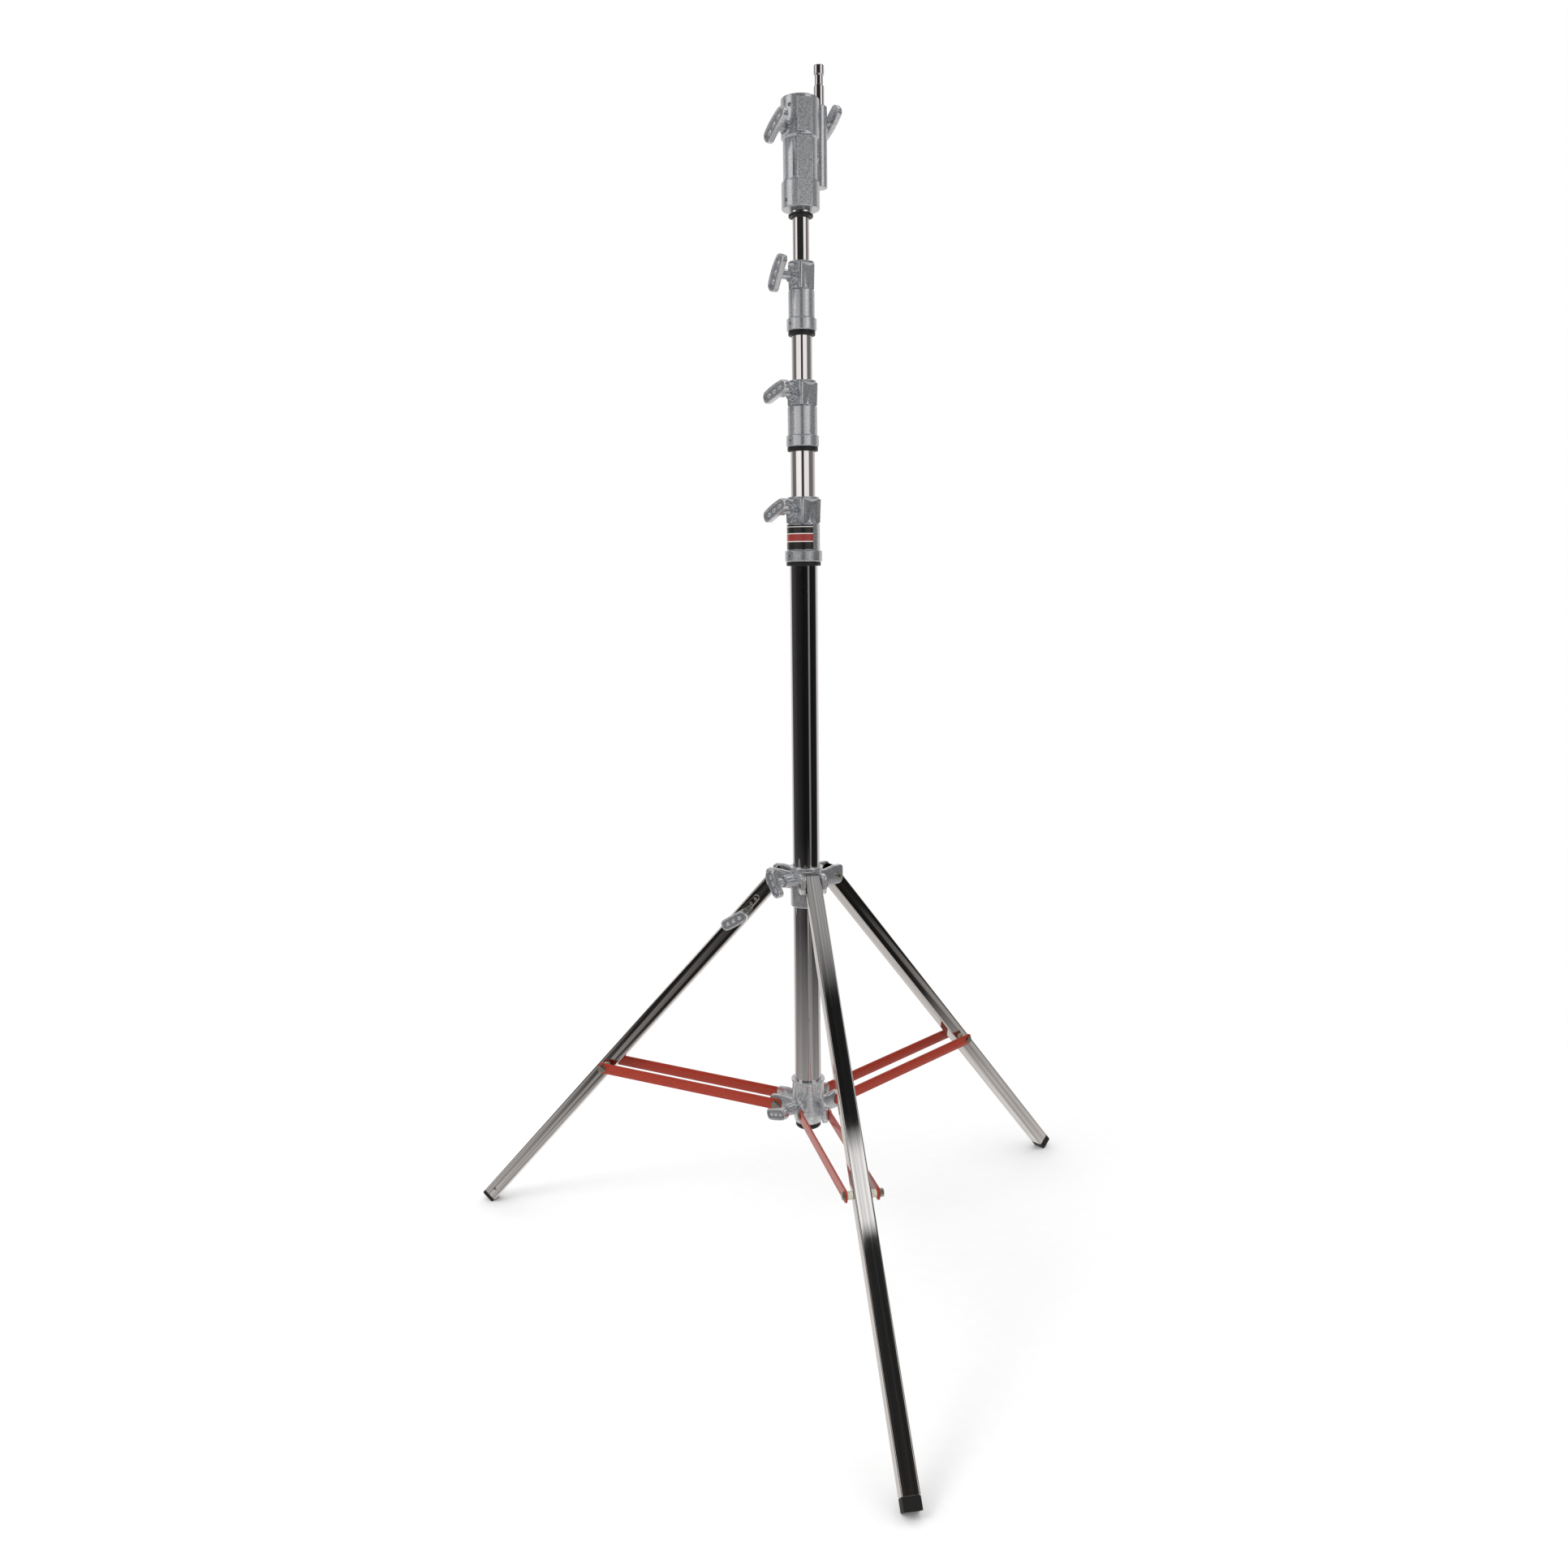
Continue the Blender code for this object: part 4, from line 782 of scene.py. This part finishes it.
def square(half, corner):
    return rectangle(-half, -half, half, half, corner, 5)


def square_tube(size, wall, corner, z0, z1):
    outer = slab(square(size / 2, corner), z0, z1, 0.25 * MM, 2)
    inner = slab(square(size / 2 - wall, max(corner - wall, 0.5 * MM)), z0 - 1 * MM, z1 + 1 * MM)
    return outer, inner


def leg_place(name):
    return (COLUMN @ azimuth(LEG_AZIMUTHS[name]) @ Matrix.Translation((PIVOT_R, 0, PIVOT_Z))
            @ Matrix.Rotation(-LEG_SPREAD, 4, "Y"))


def rubber_foot(name, body, start, grip, place):
    """A rubber plug: a cap below the tube, a spigot inside it, and a sole cut level with the ground."""
    half = LEG_SIZE / 2
    cap = slab(square(half, 3.0 * MM), -TIP, -start - GAP, 1.2 * MM)
    spigot = bar((-grip, -grip, -start - 2 * MM), (grip, grip, -start + 16 * MM), 1.2 * MM)
    shape = united(cap, (spigot,))
    to_floor = place.inverted()
    down = (to_floor.to_3x3() @ Vector((0, 0, -1))).normalized()
    cut = bmesh.ops.bisect_plane(shape, geom=shape.verts[:] + shape.edges[:] + shape.faces[:],
                                 plane_co=to_floor @ Vector((0, 0, 0)), plane_no=down, clear_outer=True)
    bmesh.ops.edgeloop_fill(shape, edges=[e for e in cut["geom_cut"] if isinstance(e, bmesh.types.BMEdge)])
    piece(f"foot_{name}_fine", shape, RUBBER, body, (f"foot_{name}",), place)


def legs():
    """The front and the right leg, square tubes with a hole for the strap's bolt and a rubber foot."""
    for name in ("front", "right"):
        place = leg_place(name)
        outer, inner = square_tube(LEG_SIZE, LEG_WALL, LEG_CORNER, -TUBE_END, LEG_ABOVE)
        hole = moved(rod(BOLT_R + GAP, -20 * MM, 20 * MM), ALONG_Y)
        piece(f"leg_{name}_fine", united(outer, (), (inner, hole)), LEG_CHROME, f"leg_{name}",
              (f"leg_{name}",), place)
        rubber_foot(name, f"leg_{name}", TUBE_END, LEG_SIZE / 2 - LEG_WALL - GAP, place)


def levelling_leg():
    """The left leg: an outer tube with a riveted clamp plate and knob, and the leg that slides in it."""
    place, end, half = leg_place("left"), TUBE_END + LEVEL_EXTRA, LEG_SIZE / 2
    outer, inner = square_tube(LEG_SIZE, LEG_WALL, LEG_CORNER, -end, LEG_ABOVE)
    knob_at = at(LEG_KNOB_AT)
    cuts = (inner, moved(rod(BOLT_R + GAP, -20 * MM, 20 * MM), ALONG_Y),
            moved(rod(3.2 * MM, 5 * MM, 20 * MM), at(-end + 20 * MM), ALONG_Y),
            moved(rod(SHAFT_R + GAP, 8 * MM, 30 * MM), knob_at, ALONG_Y))
    piece("leg_left_fine", united(outer, (), cuts), LEG_CHROME, "leg_left", ("leg_left",), place)
    plate = slab(outline((-7 * MM, -109 * MM, 6.5 * MM), (7 * MM, -109 * MM, 6.5 * MM),
                         (5 * MM, -43 * MM, 4.5 * MM), (-5 * MM, -43 * MM, 4.5 * MM), steps=6),
                 half + 0.1 * MM, half + 3.4 * MM, 0.8 * MM)
    nut = moved(rod(8.5 * MM, half + 2 * MM, half + 6 * MM, 0.8 * MM, 48), knob_at, ALONG_Y)
    screw_hole = moved(rod(SHAFT_R + GAP, 8 * MM, 30 * MM), knob_at, ALONG_Y)
    made = united(moved(plate, FACING_Y), (nut,), (screw_hole,))
    piece("clamp_plate", made, LEG_CHROME, "leg_left", (), place)
    for number, z in enumerate(RIVETS_AT, start=1):
        rivet = turned(outline((0.0, half + 3.3 * MM), (3.0 * MM, half + 3.3 * MM),
                               (3.0 * MM, half + 4.2 * MM, 0.8 * MM), (1.6 * MM, half + 5.0 * MM, 0.8 * MM),
                               (0.0, half + 5.0 * MM)), 32)
        piece(f"clamp_rivet_{number}", moved(rivet, at(z), ALONG_Y), ZINC, "leg_left", (), place)
    core = LEG_SIZE - 2 * LEG_WALL - 2 * GAP
    outer, inner = square_tube(core, LEG_WALL, 1.4 * MM, -end, -125 * MM)
    piece("levelling_leg_fine", united(outer, (), (inner,)), LEG_CHROME, "levelling_leg", ("levelling_leg",),
          place)
    rubber_foot("left", "levelling_leg", end, core / 2 - LEG_WALL - GAP, place)
    turn = Matrix.Rotation(pi / 2, 4, "Z") @ Matrix.Rotation(radians(-18.0), 4, "X")
    knob("knob_leg", half - LEG_WALL + 0.3 * MM, half + 16 * MM, SMALL_BAR, 8 * MM, place @ knob_at @ turn)


# ------------ straps and bolts

STRAP_W, STRAP_T, STRAP_INNER = 19.0 * MM, 3.2 * MM, 22.2 * MM
BOLT_HEAD, BOLT_NUT, FORK_HEAD = (5.2 * MM, 3.4 * MM), (5.6 * MM, 6.4 * MM), (5.6 * MM, 3.6 * MM)
PIN_HEAD_H = 3.2 * MM


def hexagon(r):
    return [(r * cos(radians(60 * n)), r * sin(radians(60 * n))) for n in range(6)]


def hex_head(r, z0, z1):
    """A hexagon head or nut with its outer rim chamfered round."""
    dome = turned(outline((0.0, z0 - 1 * MM), (r * 1.2, z0 - 1 * MM), (r * 1.2, z1 - 1.4 * MM),
                          (r * 0.86, z1, 0.2 * MM), (0.0, z1)), 48)
    return combined([staged(slab(hexagon(r), z0, z1)), staged(dome)], ["INTERSECT"])


def mirrored_y(bm, side):
    return bm if side > 0 else moved(bm, Matrix.Rotation(pi, 4, "Z"))


def side_bolt(side, inner_end, head_r, head_h):
    """Half a bolt along Y: shank, washer and hexagon outside the strap."""
    seat = STRAP_INNER + STRAP_T + GAP
    shank = rod(BOLT_R, inner_end, seat + 1 * MM, sides=32)
    washer = rod(head_r + 1.6 * MM, seat, seat + 1.0 * MM, 0.2 * MM, 48)
    made = united(shank, (washer, hex_head(head_r + 0.4 * MM, seat + 0.6 * MM, seat + head_h)))
    return mirrored_y(moved(made, ALONG_Y), side)


def braces():
    """For each leg two straps with their spacers and bolts, and the pin that the leg turns on."""
    for name, degree in LEG_AZIMUTHS.items():
        body = f"brace_{name}"
        leg = Vector((PIVOT_R + LEG_TO_BOLT * sin(LEG_SPREAD), PIVOT_Z - LEG_TO_BOLT * cos(LEG_SPREAD)))
        reach = leg - Vector((FORK_R, FORK_Z))
        place = (COLUMN @ azimuth(degree) @ Matrix.Translation((FORK_R, 0, FORK_Z))
                 @ Matrix.Rotation(-atan2(reach.y, reach.x), 4, "Y"))
        length, width = reach.length, STRAP_W / 2
        for side, letter in ((-1, "a"), (1, "b")):
            end = f"{name}_{letter}"
            side_view = rectangle(-9 * MM, -width, length + 8 * MM, width, 6 * MM, 6)
            y0, y1 = sorted((side * STRAP_INNER, side * (STRAP_INNER + STRAP_T)))
            flat = moved(slab(side_view, -y1, -y0, 0.5 * MM, 2), UPRIGHT)
            holes = [moved(rod(BOLT_R + GAP, -30 * MM, 30 * MM), Matrix.Translation((x, 0, 0)), ALONG_Y)
                     for x in (0.0, length)]
            piece(f"strap_{end}_fine", united(flat, (), holes), ENAMEL, body, (f"strap_{end}",), place)
            at_leg = Matrix.Translation((length, 0, 0))
            face = LEG_SIZE / 2 + GAP
            tube = moved(ring(3.6 * MM, 6.0 * MM, face, STRAP_INNER - GAP, 0.5 * MM, 48), ALONG_Y)
            piece(f"spacer_{end}_fine", moved(mirrored_y(tube, side), at_leg), WHITE_NYLON, body,
                  (f"spacer_{end}",), place)
            leg_bolt = side_bolt(side, face, *(BOLT_HEAD if side < 0 else BOLT_NUT))
            piece(f"leg_bolt_{end}_fine", moved(leg_bolt, at_leg), ZINC, body, (f"leg_bolt_{end}",), place)
            piece(f"fork_bolt_{end}_fine", side_bolt(side, FORK_INNER, *FORK_HEAD), ZINC, body,
                  (f"fork_bolt_{end}",), place)
        pin_place = COLUMN @ azimuth(degree) @ Matrix.Translation((PIVOT_R, 0, PIVOT_Z))
        seat = LUG_OUTER + GAP
        pin = turned(outline((0.0, -seat - PIN_HEAD_H), (4.4 * MM, -seat - PIN_HEAD_H, 1.4 * MM),
                             (5.4 * MM, -seat, 0.2 * MM), (BOLT_R, -seat), (BOLT_R, seat),
                             (5.4 * MM, seat, 0.2 * MM), (4.4 * MM, seat + PIN_HEAD_H, 1.4 * MM),
                             (0.0, seat + PIN_HEAD_H)), 48)
        piece(f"leg_pin_{name}_fine", moved(pin, ALONG_Y), ZINC, "hub", (f"leg_pin_{name}",), pin_place)


# ------------ studio

CAMERA_AZIMUTH = -101.315
CAMERA_OUT, CAMERA_UP = 2.0768, 1.1829
CAMERA_PAN, CAMERA_DOWN, CAMERA_ROLL = -10.336, 9.509, -0.648      # degrees
LENS_MM, SENSOR_MM = 29.38, 36.0
FLOOR_RADIUS, FLOOR_DROP = 2.3, 0.5 * MM             # the drop keeps the feet clear of the floor
AIM_HEIGHT = 0.9


def camera():
    """A camera at chest height in front of the stand, looking slightly down."""
    lens = bpy.data.cameras.new("camera")
    lens.sensor_width = SENSOR_MM
    lens.lens = LENS_MM
    item = bpy.data.objects.new("camera", lens)
    bpy.context.scene.collection.objects.link(item)
    out = radians(CAMERA_AZIMUTH)
    place = COLUMN @ Matrix.Translation((CAMERA_OUT * cos(out), CAMERA_OUT * sin(out), CAMERA_UP))
    item.matrix_world = (place @ Matrix.Rotation(radians(CAMERA_PAN), 4, "Z")
                         @ Matrix.Rotation(radians(90 - CAMERA_DOWN), 4, "X")
                         @ Matrix.Rotation(radians(CAMERA_ROLL), 4, "Z"))
    bpy.context.scene.camera = item


def turned_stops(levels):
    """Ramp stops from (degrees right of the camera, brightness) pairs."""
    return [(0.5 + degree / 360, (value, value * 0.96, value * 0.93, 1.0)) for degree, value in levels]


def studio():
    """A white studio: the camera and matt surfaces see plain white, while polished metal sees the
    room that makes it read as chrome, dark behind the camera with tall white lights beside it."""
    world = bpy.data.worlds.new("studio")
    bpy.context.scene.world = world
    world.cycles.sampling_method = "NONE"
    world.use_nodes = True
    tree = world.node_tree
    tree.nodes.clear()
    view = add(tree, "TexCoord").outputs["Generated"]
    turned_view = add(tree, "Mapping", {"Rotation": (0, 0, radians(-CAMERA_AZIMUTH))}, {"Vector": view})
    parts = add(tree, "SeparateXYZ", None, {"Vector": turned_view})
    around = add(tree, "Math", {"operation": "ARCTAN2"}, {0: parts.outputs["Y"], 1: parts.outputs["X"]})
    share = add(tree, "MapRange", {"From Min": -pi, "From Max": pi}, {"Value": around})
    bands = {
        "floor": [(-180, 0.85), (-128, 0.8), (-114, 0.66), (8, 0.62), (14, 0.8), (40, 0.8), (46, 0.6),
                  (108, 0.6), (122, 0.8), (180, 0.85)],
        "low": [(-180, 0.85), (-128, 0.75), (-114, 0.11), (-60, 0.10), (-12, 0.05), (8, 0.03), (14, 0.16),
                (40, 0.18), (46, 0.02), (108, 0.03), (122, 0.75), (180, 0.85)],
        "level": [(-180, 0.9), (-132, 0.85), (-120, 0.09), (-60, 0.03), (-10, 0.010), (30, 0.012), (35, 0.30),
                  (44, 0.26), (49, 0.012), (108, 0.02), (122, 0.8), (180, 0.9)],
        "high": [(-180, 0.8), (-124, 0.7), (-114, 0.26), (-70, 0.20), (-64, 1.25), (-16, 1.25), (-10, 0.06),
                 (8, 0.05), (14, 1.25), (56, 1.25), (62, 0.2), (108, 0.24), (122, 0.75), (180, 0.8)],
        "top": [(-180, 0.8), (-124, 0.7), (-112, 0.26), (-92, 0.20), (-86, 1.2), (-58, 1.2), (-50, 0.03),
                (32, 0.03), (38, 1.2), (68, 1.2), (74, 0.2), (108, 0.24), (122, 0.75), (180, 0.8)],
    }
    rings = {name: add(tree, "ValToRGB", {"stops": turned_stops(levels)}, {"Fac": share})
             for name, levels in bands.items()}
    seen = rings["floor"].outputs[0]
    risings = (("low", -27.0, -16.0), ("level", -15.5, -12.0), ("high", 1.2, 3.0), ("top", 10.5, 12.0))
    for name, start, end in risings:
        blend = add(tree, "MapRange", {"From Min": sin(radians(start)), "From Max": sin(radians(end))},
                    {"Value": parts.outputs["Z"]})
        seen = add(tree, "Mix", {"data_type": "RGBA"}, {0: blend, 6: seen, 7: rings[name]}).outputs[2]
    ceiling = ((30, 0.03), (45.5, 0.03), (47, 1.3), (54.5, 1.3), (57.5, 0.02), (72, 0.02), (77, 0.45),
               (90, 0.6))
    overhead = add(tree, "ValToRGB", {"stops": [(sin(radians(rise)), grey(v)) for rise, v in ceiling]},
                   {"Fac": parts.outputs["Z"]})
    over = add(tree, "MapRange", {"From Min": sin(radians(27)), "From Max": sin(radians(36))},
               {"Value": parts.outputs["Z"]})
    seen = add(tree, "Mix", {"data_type": "RGBA"}, {0: over, 6: seen, 7: overhead}).outputs[2]
    path = add(tree, "LightPath")
    glossy = add(tree, "Background", {"Strength": 1.0}, {"Color": seen})
    plain = add(tree, "Background", {"Color": grey(1.0), "Strength": 1.0})
    mixed = add(tree, "MixShader", None, {0: path.outputs["Is Glossy Ray"], 1: plain, 2: glossy})
    add(tree, "OutputWorld", None, {"Surface": mixed})


def floor():
    """A round pale floor that takes soft shadows; polished metal sees the studio's own floor instead."""
    bm = bmesh.new()
    bmesh.ops.create_circle(bm, cap_ends=True, segments=256, radius=FLOOR_RADIUS)
    bmesh.ops.translate(bm, vec=COLUMN.translation, verts=bm.verts)
    mesh = bpy.data.meshes.new("floor")
    bm.to_mesh(mesh)
    bm.free()
    material, tree, shader = surface("pale_paper", {"Specular IOR Level": 0.0})
    place = add(tree, "TexCoord").outputs["Object"]
    mottled(tree, shader, place, 40.0, ("fbfbfb", "fdfdfd"), (0.9, 0.95), 0.0)
    mesh.materials.append(material)
    item = bpy.data.objects.new("floor", mesh)
    bpy.context.scene.collection.objects.link(item)
    item.location.z = -FLOOR_DROP
    item.visible_glossy = False


def soft_light(name, degree, height, distance, size, power):
    """A square soft light that looks at the middle of the column."""
    data = bpy.data.lights.new(name, "AREA")
    data.shape, data.size, data.energy = "SQUARE", size, power
    item = bpy.data.objects.new(name, data)
    bpy.context.scene.collection.objects.link(item)
    around = radians(degree)
    spot = COLUMN.translation + Vector((distance * cos(around), distance * sin(around), height))
    item.location = spot
    aim = COLUMN.translation + Vector((0, 0, AIM_HEIGHT)) - spot
    item.rotation_euler = aim.to_track_quat("-Z", "Y").to_euler()
    item.visible_glossy = False


def main():
    bpy.context.scene.view_settings.view_transform = "Standard"
    camera()
    studio()
    floor()
    soft_light("key_light", CAMERA_AZIMUTH - 50, 2.6, 2.6, 1.2, 22.0)
    chrome_tubes()
    collars()
    label_wrap()
    head()
    baby_pin()
    hub()
    lower_casting()
    legs()
    levelling_leg()
    braces()
    for node in ("guide_bush_1", "guide_bush_2"):
        frame["nodes"][node].data.materials.clear()
        frame["nodes"][node].data.materials.append(WHITE_NYLON)


main()
